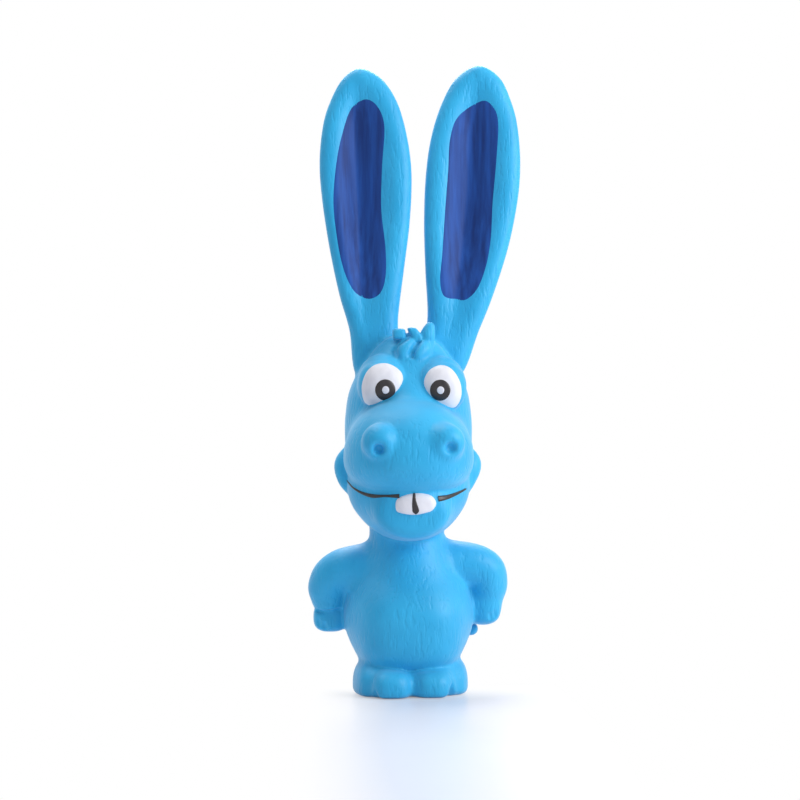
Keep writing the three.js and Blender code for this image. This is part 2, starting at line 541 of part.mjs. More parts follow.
for (const [name, side] of Object.entries(SIDES)) {
  const { frame, turn, hinge } = earFrame(name, side);
  const groove = new THREE.CylinderGeometry(hingeRadius + GAP, hingeRadius + GAP, 2 * EAR_WIDTH, 24);
  groove.rotateZ(Math.PI / 2).translate(0, 0, EAR_HINGE).applyMatrix4(frame);
  const root = cutAll(earRoot(name, frame), headForm(GAP), solid(groove));
  addPiece(head, `ear_root_${name}`, largest(root), LATEX);

  const ear = pivotGroup(head, `ear_${name}`, hinge.toArray());
  ear.rotation.copy(turn);
  addPiece(ear, `ear_${name}`, earBlade(name, frame), LATEX);
  const { width, length, power } = LINING;
  const middle = [LINING_ASIDE[name], EAR_HINGE + LINING.above_hinge + length / 2];
  const outline = facePrism(width, length, middle, EAR_HOLLOW / 2, -EAR_WIDTH, { power }).applyMatrix4(frame);
  const lining = film((grow) => earBlade(name, frame, grow), solid(outline));
  addPiece(ear, `ear_lining_${name}`, lining, DARK_BLUE);
}
const earRoots = Object.entries(SIDES).map(([name, side]) => earRoot(name, earFrame(name, side).frame, GAP));

// Eyes: painted white domes under a brow ridge, each with a black pupil round a white glint
function eyeParts(side) {
  const x = (side * EYE.apart) / 2;
  const z = muzzleCentre[2] + MUZZLE.height / 2 + EYE.above_muzzle;
  const y = headFrontY(x, z) + EYE.sunk;
  const dome = (grow = 0) => lump(sizeOf(EYE), [x, y, z], { turn: side * EYE.tilt, grow, rows: 7 });
  const look = [x - side * PUPIL.inward, z - PUPIL.below_eye];
  const disc = (width) => solid(facePrism(width, width, look, y, y - EYE.depth * 2, { sides: 14 }));
  const ridge = BROW.arc.map((degrees) => {
    const angle = THREE.MathUtils.degToRad(degrees);
    const px = x + side * (EYE.width / 2 + BROW.reach) * Math.cos(angle);
    const pz = z + (EYE.height / 2 + BROW.reach) * Math.sin(angle);
    return new THREE.Vector3(px, headFrontY(px, pz) - BROW.thickness * 0.15, pz);
  });
  const half = BROW.thickness / 2;
  const brow = limb(ridge, [half * 0.4, half, half, half * 0.4], { sides: 6 });
  return { dome, disc, brow };
}

for (const [name, side] of Object.entries(SIDES)) {
  const { dome, disc, brow } = eyeParts(side);
  addPiece(head, `eye_${name}`, largest(cutAll(dome(), headForm(GAP), muzzleForm(GAP))), WHITE);
  const pupilRing = disc(PUPIL.diameter).subtract(disc(PUPIL.glint + 2 * GAP));
  addPiece(head, `pupil_${name}`, film(dome, pupilRing.subtract(muzzleForm(GAP))), BLACK);
  addPiece(head, `glint_${name}`, film(dome, disc(PUPIL.glint)), WHITE);
  addPiece(head, `brow_${name}`, largest(cutAll(brow, headForm(GAP), dome(GAP), ...earRoots)), LATEX);

  const cheekCentre = [(side * CHEEK.apart) / 2, -CHEEK.forward, neckLowZ + CHEEK.above_neck];
  const cheek = lump(sizeOf(CHEEK), cheekCentre, { rows: 6 });
  addPiece(head, `cheek_${name}`, largest(cutAll(cheek, headForm(GAP), lips(GAP))), LATEX);
  const stroke = cutAll(film(lips, mouthStroke(side)), teethForm(GAP), headForm(GAP));
  addPiece(head, `mouth_line_${name}`, largest(stroke), BLACK);
}

// Forelock: a few blunt locks of moulded hair between the ears
function forelockForm() {
  const rootZ = crownZ - 5;
  const half = FORELOCK.lock / 2;
  let form = lump([2.6 * FORELOCK.spread, 12, 9], [0, -5, crownZ - 3], { rows: 5 });
  for (const place of [-1, -0.35, 0.3, 1]) {
    const x = place * FORELOCK.spread;
    const rise = FORELOCK.length * (0.62 + 0.14 * place);
    const points = [[x * 0.6, -4, rootZ], [x * 0.8, -5.5, rootZ + rise * 0.6], [x * 1.1, -5, rootZ + rise]];
    const line = points.map((p) => new THREE.Vector3(...p));
    form = form.add(limb(line, [half, half * 1.05, half * 0.35], { steps: 4, sides: 6 }));
  }
  for (const place of [-0.5, 0.25]) {
    const x = place * FORELOCK.spread;
    const points = [[x * 0.6, -6, crownZ - 1], [x, -11, crownZ - 2.5], [x * 1.3, -15.5, crownZ - 8]];
    const line = points.map((p) => new THREE.Vector3(...p));
    form = form.add(limb(line, [half, half, half * 0.4], { steps: 4, sides: 6 }));
  }
  return form;
}
addPiece(head, "forelock", largest(cutAll(forelockForm(), headForm(GAP), ...earRoots)), LATEX);

// The origin is the middle of the toy's footprint box, on the ground
const box = new THREE.Box3().setFromObject(toy, true);
const centre = box.getCenter(new THREE.Vector3());
torso.position.set(-centre.x, -centre.y, -box.min.z);
toy.updateMatrixWorld(true);

export default toy;
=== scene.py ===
# %% [markdown]
# # A squeaky dog toy in blue latex
# The toy is a cartoon donkey, 220 mm tall with its long ears. The real one is slush moulded: liquid latex
# sets as one soft skin inside a mould, is peeled out, painted by hand, stuffed with fibre and closed with
# a reed whistle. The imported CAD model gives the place, size and joints of every part, so it is loaded
# first, and everything below is fitted to it.

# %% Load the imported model
import json
import math

import bmesh
import bpy
import numpy as np
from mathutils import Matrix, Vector


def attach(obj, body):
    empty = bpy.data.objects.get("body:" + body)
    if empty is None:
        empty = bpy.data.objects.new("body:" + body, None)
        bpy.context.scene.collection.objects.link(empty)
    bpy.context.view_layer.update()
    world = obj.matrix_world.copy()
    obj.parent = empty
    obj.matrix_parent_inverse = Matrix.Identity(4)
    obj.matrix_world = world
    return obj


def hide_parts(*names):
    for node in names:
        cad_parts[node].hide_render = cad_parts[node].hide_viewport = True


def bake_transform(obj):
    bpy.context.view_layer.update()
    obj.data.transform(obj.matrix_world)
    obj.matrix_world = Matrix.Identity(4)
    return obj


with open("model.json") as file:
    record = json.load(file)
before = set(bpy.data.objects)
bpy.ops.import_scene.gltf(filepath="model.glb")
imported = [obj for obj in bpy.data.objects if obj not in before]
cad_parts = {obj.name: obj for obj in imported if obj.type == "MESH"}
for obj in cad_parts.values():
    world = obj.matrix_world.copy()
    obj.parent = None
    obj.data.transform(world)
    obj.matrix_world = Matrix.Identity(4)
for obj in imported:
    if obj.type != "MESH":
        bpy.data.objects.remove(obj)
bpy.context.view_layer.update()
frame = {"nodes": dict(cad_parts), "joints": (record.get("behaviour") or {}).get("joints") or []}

scene = bpy.context.scene
JOINTS = {joint["name"]: joint for joint in frame["joints"]}
FIGURE_AXIS = 1000 * np.array(JOINTS["neck_bend"]["pos_m"]) * (1, 1, 0)


def to_row(figure_mm):
    """Millimetres about the figure's upright axis become metres in the row frame."""
    return (np.asarray(figure_mm, float) + FIGURE_AXIS) / 1000


# %% [markdown]
# ## A block of clay made of numbers
# On the real toy the forms flow into each other, with a soft fillet where an arm leaves the body and a
# sharp fold at the mouth. Separate lofted surfaces would show a hard line at each meeting, so the skin is
# sculpted another way. A grid of points fills the toy's box, and each point holds its distance to the
# surface, negative inside. Adding a form takes the smaller of two distances, and rounding that choice
# over a few millimetres gives the fillet.

# %% The grid, and how forms are added to it
STEP = 0.6
GRID_LOW = np.array([-39.0, -43.2, -3.6])
GRID_HIGH = np.array([43.8, 30.0, 223.8])
FAR, MARGIN = 30.0, 2.5 * STEP
AXES = [np.arange(low, high, STEP) for low, high in zip(GRID_LOW, GRID_HIGH)]
field = np.full([len(axis) for axis in AXES], FAR, np.float32)


def soft_join(a, b, fillet):
    """The smaller of two distances, less a parabola of height fillet / 4 where they are about equal."""
    near = np.clip(fillet - np.abs(a - b), 0, None) / fillet
    return np.minimum(a, b) - near * near * fillet / 4


def window(shape, fillet):
    """The part of the grid within the shape's box, and its coordinates as arrays that broadcast."""
    low, high = (np.asarray(corner, float) for corner in shape["box"])
    reach = fillet + MARGIN
    cut = tuple(slice(*np.searchsorted(axis, (a - reach, b + reach)))
                for axis, a, b in zip(AXES, low, high))
    return cut, np.ix_(*(axis[part] for axis, part in zip(AXES, cut)))


def add_form(shape, fillet):
    """Adds a form to the clay with a fillet of about that many millimetres."""
    cut, place = window(shape, fillet)
    field[cut] = soft_join(field[cut], shape["distance"](*place), fillet)


def carve_form(shape, fillet):
    """Takes a form away: the larger of the clay's distance and minus the form's, rounded the same way."""
    cut, place = window(shape, fillet)
    field[cut] = -soft_join(-field[cut], shape["distance"](*place), fillet)


print("clay grid", field.shape, "points", field.size)

# %% [markdown]
# ## Three kinds of form
# Almost all of the toy is made from three forms. A lump is a ball pressed towards a box, for the muzzle,
# the jaw and the feet. A limb is a chain of round rods that taper, for the arms and the locks of hair. A
# stack is a pile of ellipses with sizes read from a curve, for the torso and the head.

# %% Lump, limb and stack


def lump(centre, radii, power=2.0, below=None):
    """k is the power mean of |x|/a, |y|/b and |z|/c, and the distance is (k - 1) over k's steepness.
    The height c can be another one below the middle."""
    def distance(x, y, z):
        tall = radii[2] if below is None else np.where(z < centre[2], below, radii[2])
        sizes = (radii[0], radii[1], tall)
        shares = [np.abs(p - c) / r for p, c, r in zip((x, y, z), centre, sizes)]
        k = np.maximum(sum(s**power for s in shares), 1e-9) ** (1 / power)
        steep = sum((s ** (power - 1) / r) ** 2 for s, r in zip(shares, sizes))
        return (k - 1) * k ** (power - 1) / np.sqrt(np.maximum(steep, 1e-12))
    centre, radii = np.asarray(centre, float), np.asarray(radii, float)
    return {"distance": distance, "box": (centre - radii, centre + radii)}


def pillow(centre, radii, power):
    """A lump that is an ellipse from the front, and nearly flat: k mixes hypot(x/a, z/c) with |y|/b."""
    def distance(x, y, z):
        xs, ys, zs = (np.abs(p - c) / r for p, c, r in zip((x, y, z), centre, radii))
        u = np.maximum(np.hypot(xs, zs), 1e-6)
        k = np.maximum(u**power + ys**power, 1e-9) ** (1 / power)
        rim = u ** (power - 2) * np.hypot(xs / radii[0], zs / radii[2])
        steep = np.hypot(rim, ys ** (power - 1) / radii[1])
        return (k - 1) * k ** (power - 1) / np.maximum(steep, 1e-6)
    centre, radii = np.asarray(centre, float), np.asarray(radii, float)
    return {"distance": distance, "box": (centre - radii, centre + radii)}


def through(pairs):
    """A smooth curve through (place, value) pairs: cubic pieces whose slopes come from the neighbours."""
    t, v = np.array(pairs, float).T
    slope = np.gradient(v, t)
    def value(place):
        i = np.clip(np.searchsorted(t, place, side="right") - 1, 0, len(t) - 2)
        span, rise = t[i + 1] - t[i], v[i + 1] - v[i]
        s = np.clip((place - t[i]) / span, 0, 1)
        bend, back = slope[i] * span - rise, rise - slope[i + 1] * span
        return v[i] + rise * s + s * (1 - s) * (bend * (1 - s) + back * s)
    return value


def smooth_path(points, sizes, count):
    """That many points, and sizes at them, on smooth curves through the given ones."""
    turns, fine = np.arange(len(points)), np.linspace(0, len(points) - 1, count)
    *places, size = (through(np.c_[turns, column])(fine) for column in np.c_[points, sizes].T)
    return np.stack(places, 1), size


def limb(points, radii, per_span=4, rod_fillet=0.5):
    """Rods between the points of a smooth path: distance to each middle line, less the tapering radius."""
    path, size = smooth_path(points, radii, per_span * (len(points) - 1) + 1)
    def distance(x, y, z):
        nearest = FAR
        for a, b, ra, rb in zip(path[:-1], path[1:], size[:-1], size[1:]):
            run = b - a
            share = sum((p - c) * r for p, c, r in zip((x, y, z), a, run)) / (run @ run)
            share = np.clip(share, 0, 1)
            gap = sum((p - c - share * r) ** 2 for p, c, r in zip((x, y, z), a, run))
            nearest = soft_join(nearest, np.sqrt(gap) - ra - share * (rb - ra), rod_fillet)
        return nearest
    widest = size.max()
    return {"distance": distance, "box": (path.min(0) - widest, path.max(0) + widest)}


def stack(low, high, half_width, depth_share, shift=lambda z: 0 * z, least=0.05, probe=0.3, room=3):
    """Ellipses piled along z: (k - 1) times the radius over the slope of the side, cut off at both ends."""
    def distance(x, y, z):
        wide = np.maximum(half_width(z), least)
        slope = (half_width(z + probe) - half_width(z - probe)) / (2 * probe)
        u, v = x / wide, (y - shift(z)) / (wide * depth_share)
        k = np.maximum(np.hypot(u, v), 1e-6)
        side = (k - 1) * k / np.hypot(u / wide, v / (wide * depth_share))
        return np.maximum(side / np.sqrt(1 + slope**2), np.maximum(low - z, z - high))
    widest = float(half_width(np.linspace(low, high, 200)).max())
    reach = widest * max(1, depth_share) + room
    return {"distance": distance, "box": ((-reach, -reach, low), (reach, reach, high))}


def both(a, b, fillet):
    """Two forms as one, for adding together."""
    def distance(x, y, z):
        return soft_join(a["distance"](x, y, z), b["distance"](x, y, z), fillet)
    corners = np.array([a["box"], b["box"]])
    return {"distance": distance, "box": (corners[:, 0].min(0), corners[:, 1].max(0))}


# %% [markdown]
# ## Reading the clay
# Later forms have to sit on earlier ones: a lock of hair lies on the forehead, and paint lies on the skin.
# So the clay can be asked for its distance and its slope at any point, and for the first point that a
# line from the front meets.

# %% Sampling the clay


def sample(points, clay=field):
    """The distance at any points, mixed from the eight grid points around each by how near they are."""
    place = (points - GRID_LOW) / STEP
    cell = np.clip(place.astype(int), 0, np.array(field.shape) - 2)
    share = place - cell
    total = np.zeros(len(points))
    for corner in np.ndindex(2, 2, 2):
        weight = np.prod(np.where(corner, share, 1 - share), axis=1)
        total += weight * clay[tuple((cell + corner).T)]
    return total


def slope_at(points, clay=field, reach=0.8 * STEP):
    """The way that the distance grows fastest, from differences to both sides along each axis."""
    steps = reach * np.eye(3)
    return np.stack([sample(points + s, clay) - sample(points - s, clay) for s in steps], 1) / (2 * reach)


def unit(vectors):
    """The same directions, each of length 1."""
    return vectors / np.maximum(np.linalg.norm(vectors, axis=-1, keepdims=True), 1e-9)


def outward(points, clay=field):
    """The slope as directions of length 1: the normals of the skin."""
    return unit(slope_at(points, clay))


# %% Throwing points onto the clay from the front


def onto_front(x, z, clay=field):
    """Points of the skin seen from the front at (x, z): the first sign change along y, and the normals."""
    place = [(x - GRID_LOW[0]) / STEP, (z - GRID_LOW[2]) / STEP]
    cell = [np.clip(p.astype(int), 0, n - 2) for p, n in zip(place, (field.shape[0], field.shape[2]))]
    share = [(p - c)[:, None] for p, c in zip(place, cell)]
    column = sum(np.abs(1 - i - share[0]) * np.abs(1 - k - share[1]) * clay[cell[0] + i, :, cell[1] + k]
                 for i in (0, 1) for k in (0, 1))
    hit = np.maximum(np.argmax(column < 0, axis=1), 1)
    row = np.arange(len(hit))
    before, after = column[row, hit - 1], column[row, hit]
    y = GRID_LOW[1] + STEP * (hit - 1 + before / (before - after))
    points = np.stack([x, y, z], 1)
    return points, outward(points, clay)


# %% [markdown]
# ## Torso, arms and feet
# The body is a round flask with a narrow neck. The arms leave the shoulders, turn down at the elbow and
# end in fists on the hips. The feet are broad blocks with a big inner toe and a small outer toe, and
# their soles are cut flat so that the toy stands. Side -1 below is the toy's own right.

# %% Torso, with the slope of the shoulders
TORSO_HALF_WIDTH = through([(5, 14.2), (9, 15.8), (13, 17.4), (17.5, 20.3), (22, 22.1), (28.3, 22.6),
                            (35.4, 20.8), (42.4, 17.0), (49.4, 14.2), (54, 12.2)])
TORSO_LOW, TORSO_HIGH, TORSO_DEPTH, TORSO_FILLET = 5.0, 54.0, 0.98, 1.0
BELLY_CENTRE, BELLY_SIZE, BELLY_POWER, BELLY_FILLET = (0, -3.4, 22.4), (18.8, 20.0, 16.2), 2.9, 3.0
NECK_PATH, NECK_RADII, NECK_FILLET = [(-1.8, 0, 47), (-1.5, -0.5, 58)], (11.9, 11.9), 1.5
SLOPE_PATH, SLOPE_RADII, SLOPE_FILLET = [(7, 1, 50.0), (14, 1, 46.8), (22, 1, 43.8)], (4.6, 4.8, 5.4), 3.0
add_form(stack(TORSO_LOW, TORSO_HIGH, TORSO_HALF_WIDTH, TORSO_DEPTH), TORSO_FILLET)
add_form(lump(BELLY_CENTRE, BELLY_SIZE, BELLY_POWER), BELLY_FILLET)
add_form(limb(NECK_PATH, NECK_RADII), NECK_FILLET)
for side in (-1, 1):
    add_form(limb(np.array(SLOPE_PATH) * (side, 1, 1), SLOPE_RADII), SLOPE_FILLET)

# %% Arms
ARM_RADII = (6.4, 6.8, 6.8, 6.4, 5.9, 5.7)
ARM_PATHS = {
    -1: ((6, 0, 42.2), (17, 0, 42.8), (25.4, 1, 40.9),
         (28.2, 2.3, 36.6), (28.0, 2.8, 33.2), (27.5, 2.8, 31.6)),
    1: ((6, 0, 43.4), (17, 0, 44.8), (26.0, 1, 42.6),
        (28.1, 2.5, 37.4), (27.1, 3.6, 31.6), (26.4, 3.6, 29)),
}
FISTS = {-1: ((27.2, 4.2, 25.8), (6.0, 5.2, 5.2), 0.3), 1: ((26.2, 3.4, 28.3), (6.0, 6.0, 5.0), 2.0)}
SHOULDER_FILLET, HIP_FILLET, UPPER_ARM, FIST_POWER = 4.5, 1.6, 4, 2.8
for side in (-1, 1):
    mirror = np.array([side, 1, 1])
    fist_centre, fist_radii, wrist_fillet = FISTS[side]
    path = np.array(ARM_PATHS[side]) * mirror
    arm = limb(path, ARM_RADII)
    fist = lump(fist_centre * mirror, fist_radii, FIST_POWER)
    add_form(limb(path[:UPPER_ARM], ARM_RADII[:UPPER_ARM]), SHOULDER_FILLET)
    add_form(both(arm, fist, wrist_fillet), HIP_FILLET)


def groove(path, radius, fillet):
    """A line pressed into the clay: a thin limb whose middle follows the skin seen from the front."""
    x, z = np.array(path, float).T
    carve_form(limb(onto_front(x, z)[0], np.broadcast_to(radius, len(path))), fillet)


# %% Crease of the right wrist, and creases between the fingers (x, top, bottom)
WRIST_CREASE = [(-32.2, 28.3), (-29.8, 27.9), (-26.6, 28.1), (-24.4, 28.7)]
FINGER_CREASES = ((-31.4, 24.8, 22.8), (-29.4, 23.8, 21.9), (28.6, 27.0, 25.2), (30.2, 28.0, 25.8))
WRIST_RADIUS, WRIST_FILLET, FINGER_RADIUS, FINGER_FILLET, FINGER_LEAN = 0.6, 0.7, 0.5, 0.9, 0.3
groove(WRIST_CREASE, WRIST_RADIUS, WRIST_FILLET)
for x, top, bottom in FINGER_CREASES:
    groove([(x, top), (x + FINGER_LEAN, bottom)], FINGER_RADIUS, FINGER_FILLET)

# %% Feet, with flat soles and a round recess for the whistle
BETWEEN_TOES, BETWEEN_HEELS = ((0.6, -8.5, 3.0), (5.5, 12.0, 7.0)), ((0, 6.0, 3.0), (5.5, 8.4, 8.0))
FOOT_CENTRE, FOOT_SIZE = (9.9, -1.8, 3.4), (9.0, 16.8, 11.2)
INNER_TOES, INNER_SIZE = {-1: (7.0, -16.2, 2.5), 1: (7.0, -14.4, 2.5)}, (7.4, 10.2, 7.2)
OUTER_TOES = {-1: ((13.9, -10.2, 3.0), (4.7, 10.4, 7.6)), 1: ((14.9, -4.6, 3.2), (4.7, 10.4, 8.0))}
TOE_PARTINGS = {-1: [(-13.0, 0.2), (-12.9, 1.2), (-12.7, 2.2)],
                1: [(14.1, 0.2), (14.0, 2.2), (14.2, 4.4)]}
PARTING_RADII = {-1: (1.2, 0.8, 0.5), 1: (2.3, 1.5, 0.5)}
BETWEEN_POWER, FOOT_POWER, INNER_POWER, OUTER_POWER = 2.4, 2.2, 2.7, 2.6
FEET_FILLET, FOOT_FILLET, TOE_FILLET, TOES_FILLET, PARTING_FILLET = 3.0, 1.4, 4.6, 2.0, 0.9
RECESS_RADIUS, RECESS_TOP, RECESS_FILLET, SOLE_FILLET = 10.5, 7.0, 0.6, 2.4
feet = both(lump(*BETWEEN_TOES, BETWEEN_POWER), lump(*BETWEEN_HEELS, BETWEEN_POWER), FEET_FILLET)
for side in (-1, 1):
    mirror = np.array([side, 1, 1])
    foot = lump(FOOT_CENTRE * mirror, FOOT_SIZE, FOOT_POWER)
    inner_toe = lump(INNER_TOES[side] * mirror, INNER_SIZE, INNER_POWER)
    outer_toe = lump(OUTER_TOES[side][0] * mirror, OUTER_TOES[side][1], OUTER_POWER)
    toes = both(inner_toe, outer_toe, TOES_FILLET)
    feet = both(feet, both(foot, toes, TOE_FILLET), FEET_FILLET)
add_form(feet, FOOT_FILLET)
for side, parting in TOE_PARTINGS.items():
    groove(parting, PARTING_RADII[side], PARTING_FILLET)
field[:] = -soft_join(-field, AXES[2], SOLE_FILLET)
carve_form(stack(-FAR, RECESS_TOP, lambda z: RECESS_RADIUS + 0 * z, 1.0), RECESS_FILLET)

# %% [markdown]
# ## Head
# The head is an egg that widens to the cheeks. The muzzle is a broad pillow set on its front, the jaw a
# bowl below it. They meet in a fold, the mouth, so muzzle and jaw are each blended with the egg first and
# only then with each other, with almost no fillet.

# %% Egg, eye mounds and eyeballs
HEAD_HALF_WIDTH = through([(47, 11.6), (51, 11.5), (55, 11.8), (59.7, 13.6), (63.9, 17.0), (68, 19.8),
                           (74, 21.6), (84, 21.8), (97, 21.7), (105.4, 20.2), (110, 18.2), (114, 15.6),
                           (118, 12.8), (121.5, 9.6), (123.6, 6.0), (124.6, 1.5), (124.8, 0)])
HEAD_SHIFT = through([(47, 0), (57, -0.8), (70, -1.6), (95, 1.2), (108, 1.4), (118, -0.8), (125, -1)])
HEAD_LOW, HEAD_HIGH, HEAD_DEPTH, HEAD_FILLET = 47.0, 124.8, 0.935, 2.5
EYES = {-1: (-9.8, 107.1), 1: (10.8, 106.4)}
# Mound and eyeball: outwards from the eye's middle, along y and above it, then size, power and fillet
EYE_FORMS = [((-0.5, -9.4, 0.8), (9.0, 8.6, 10.0), 2.1, 1.4), ((-0.2, -13.2, 0), (8.7, 6.9, 8.8), 2.2, 0.4)]
egg = stack(HEAD_LOW, HEAD_HIGH, HEAD_HALF_WIDTH, HEAD_DEPTH, HEAD_SHIFT)
add_form(egg, HEAD_FILLET)
for side, (x, z) in EYES.items():
    for (out, y, above), size, power, fillet in EYE_FORMS:
        add_form(lump((x + side * out, y, z + above), size, power), fillet)
bare_face = field.copy()

# %% Muzzle, jaw, cheeks and teeth
MUZZLE_FILLET, BRIDGE_FILLET, JAW_FILLET, CHIN_FILLET = 5, 6, 3, 5
LIP_FILLET, MOUTH_FILLET, CHEEK_FILLET, TEETH_FILLET = 1.0, 0.7, 0.8, 0.5
CHEEKS = [((-20.8, -6.6, 84.9), (-22.5, -7.0, 79.8), (-22.2, -8.4, 74.6), (-20.2, -9.6, 70.4)),
          ((19.6, -6.6, 84.9), (21.3, -7.0, 79.8), (20.0, -8.6, 74.2), (17.6, -10.0, 69.0))]
CHEEK_RADII = (1.8, 3.5, 2.8, 1.7)
muzzle = lump((-0.9, -17, 82), (22.4, 21, 20.4), 2.1, below=15)
bridge = lump((-0.9, -11, 101), (7.0, 8.6, 9.6))
jaw = lump((-0.7, -12.5, 72.3), (21.1, 17.8, 17.7))
chin = pillow((-0.2, -16.6, 63.6), (13.2, 14.0, 9.2), 6)
teeth = lump((0.8, -29.4, 66.7), (6.9, 3.0, 3.7), 3.0)
add_form(both(egg, both(muzzle, bridge, BRIDGE_FILLET), MUZZLE_FILLET), LIP_FILLET)
add_form(both(egg, both(jaw, chin, CHIN_FILLET), JAW_FILLET), MOUTH_FILLET)
for points in CHEEKS:
    add_form(limb(points, CHEEK_RADII), CHEEK_FILLET)
add_form(teeth, TEETH_FILLET)

# %% Nostrils: a soft mound and a hole each
NOSTRILS = [((-11.4, -33.0, 87.6), (6.4, 5.8, 6.5), 1.3, (-12.0, 85.4)),
            ((11.0, -32.6, 87.6), (6.4, 5.4, 6.4), 2.4, (12.2, 85.8))]
HOLE_FRONT, HOLE_END, HOLE_RISE, HOLE_RADII, HOLE_FILLET = -44, -36.6, 0.4, (2.4, 1.7), 2.2
for mound_centre, mound_radii, fillet, (x, z) in NOSTRILS:
    add_form(lump(mound_centre, mound_radii), fillet)
    carve_form(limb([(x, HOLE_FRONT, z - HOLE_RISE), (x, HOLE_END, z)], HOLE_RADII), HOLE_FILLET)

# %% [markdown]
# ## Ears
# Each ear is a long leaf, thick at the rim and hollowed along the middle. Its outline is drawn as a smooth
# loop and turned into distances in the plane of the leaf. Half the leaf's thickness is then a round edge
# around that outline, and a camber that grows from the rim to the middle line pushes the leaf back.

# %% Leaf outlines
LEAVES = {
    "right": [(-17.6, 110), (-20.6, 126.6), (-24.2, 139.3), (-27.7, 156.2), (-30.2, 173.1), (-31, 186),
              (-29.8, 198.5), (-27.2, 207.2), (-22.8, 215.2), (-16.8, 219.0), (-9.3, 215.6), (-3.6, 207.2),
              (-0.1, 195), (1.5, 181.5), (0.8, 164.6), (-1.3, 147.7), (-3.4, 130.8), (-4.2, 114)],
    "left": [(17.8, 110), (25.2, 126.6), (30.3, 139.3), (35.7, 156.2), (39.1, 173.1), (40.0, 186),
             (39.1, 198.5), (36.9, 207.4), (32.8, 216.0), (25.4, 220.3), (17.5, 215.8), (12.3, 206.9),
             (8.5, 195), (6.5, 181.5), (5.8, 164.6), (6.2, 147.7), (6.9, 130.8), (5, 114)],
}


def smooth_loop(points, count):
    """A closed curve through the points: cubics whose slopes come from the points next to them."""
    corner = np.asarray(points, float)
    t = np.linspace(0, len(corner), count, endpoint=False)
    i = t.astype(int)
    u = (t - i)[:, None]
    a, b, c, d = (corner[(i + k) % len(corner)] for k in (-1, 0, 1, 2))
    return b + u / 2 * (c - a + u * (2 * a - 5 * b + 4 * c - d + u * (3 * (b - c) + d - a)))


def loop_distance(x, z, loop):
    """Distance to the nearest side of a loop, negative where an upward ray crosses it an odd count."""
    shape = np.broadcast(x, z).shape
    nearest, inside = np.full(shape, np.inf), np.zeros(shape, bool)
    for (ax, az), (bx, bz) in zip(loop, np.roll(loop, -1, 0)):
        rx, rz = bx - ax, bz - az
        share = np.clip(((x - ax) * rx + (z - az) * rz) / (rx * rx + rz * rz), 0, 1)
        nearest = np.minimum(nearest, (x - ax - share * rx) ** 2 + (z - az - share * rz) ** 2)
        inside ^= ((ax > x) != (bx > x)) & (z < az + (x - ax) * rz / (rx if rx else 1e-9))
    return np.where(inside, -1, 1) * np.sqrt(nearest)


# %% Leaves with their camber
EAR_HALF_THICK = through([(108, 4.2), (125, 4.4), (145, 4.4), (185, 4.2), (222, 3.2)])
EAR_CAMBER = through([(120, 0), (134, 2.2), (155, 7.0), (185, 8.2), (202, 5.4), (212, 1.6), (219, 0)])
RIM_WIDTH = through([(108, 5), (135, 6), (160, 7), (195, 7), (212, 6), (222, 4.5)])
VALLEY = {"left": -1.0, "right": -2.6}
EAR_MIDDLE, EAR_ROOT_HEIGHT, EAR_FILLET = 3.6, 117, 1.6
EAR_LEAN = math.tan(math.radians(3.0))
LEAF_SIDES, LEAF_ROWS, ROW_REACH, EDGE_ROOM, VALLEY_ROUND = 160, 60, 2.5, 0.3, 0.02
LEAF_FRONT, LEAF_BACK = -6, 20


def leaf(points, valley):
    """A leaf with round rims: thickness * (hypot((outline distance + rim) / rim, y / thickness) - 1).
    The camber is (1 - u)^2 with u from 0 in the valley to 1 at the rim, so the rim lies flat."""
    loop = smooth_loop(points, LEAF_SIDES)
    heights = np.linspace(loop[:, 1].min() + 0.5, loop[:, 1].max() - 0.5, LEAF_ROWS)
    rows = [loop[np.abs(loop[:, 1] - height) < ROW_REACH][:, 0] for height in heights]
    edges = [[edge(row) for row in rows] for edge in (np.min, np.max)]
    def distance(x, y, z):
        thick = EAR_HALF_THICK(z)
        low, high = (np.interp(z, heights, edge) for edge in edges)
        bottom = (low + high) / 2 + np.clip(valley, (low - high) / 4, (high - low) / 4)
        across = np.where(x > bottom, (x - bottom) / (high - bottom + EDGE_ROOM),
                          (bottom - x) / (bottom - low + EDGE_ROOM))
        camber = EAR_CAMBER(z) * (1 - np.clip(np.sqrt(across**2 + VALLEY_ROUND), 0, 1)) ** 2
        outline = loop_distance(x[:, 0], z[0], loop)[:, None, :]
        back = y - EAR_MIDDLE - (z - EAR_ROOT_HEIGHT) * EAR_LEAN - camber
        rim = RIM_WIDTH(z)
        return thick * (np.hypot(np.maximum(outline + rim, 0) / rim, back / thick) - 1)
    low, high = loop.min(0), loop.max(0)
    return {"distance": distance, "box": ((low[0], LEAF_FRONT, low[1]), (high[0], LEAF_BACK, high[1]))}


for side, points in LEAVES.items():
    add_form(leaf(points, VALLEY[side]), EAR_FILLET)

# %% Forelock: three blunt locks on the crown and two curls that lie on the forehead
LOCK_FILLET, LOCK_POWER, MIDDLE_LEAN = 0.4, 4.0, -0.58
CURL_FILLET, CURL_SINK, CREASE_RADIUS, CREASE_FILLET = 0.8, 0.35, 0.7, 0.9
FOREHEAD_CURLS = [
    ([(6.8, 122.2), (5.3, 120.9), (3.8, 119.2), (2.4, 117.0)], (2.0, 2.9, 2.9, 1.4)),
    ([(1.8, 122.4), (-0.6, 121.3), (-2.3, 119.6), (-3.0, 117.4)], (2.0, 2.9, 2.8, 1.4)),
]
CURL_CREASES = [[(3.2, 122.6), (1.6, 120.4), (0.6, 118.4), (0.4, 117.0)],
                [(-1.4, 123.2), (-3.8, 121.6), (-5.4, 119.6), (-5.0, 117.4)]]


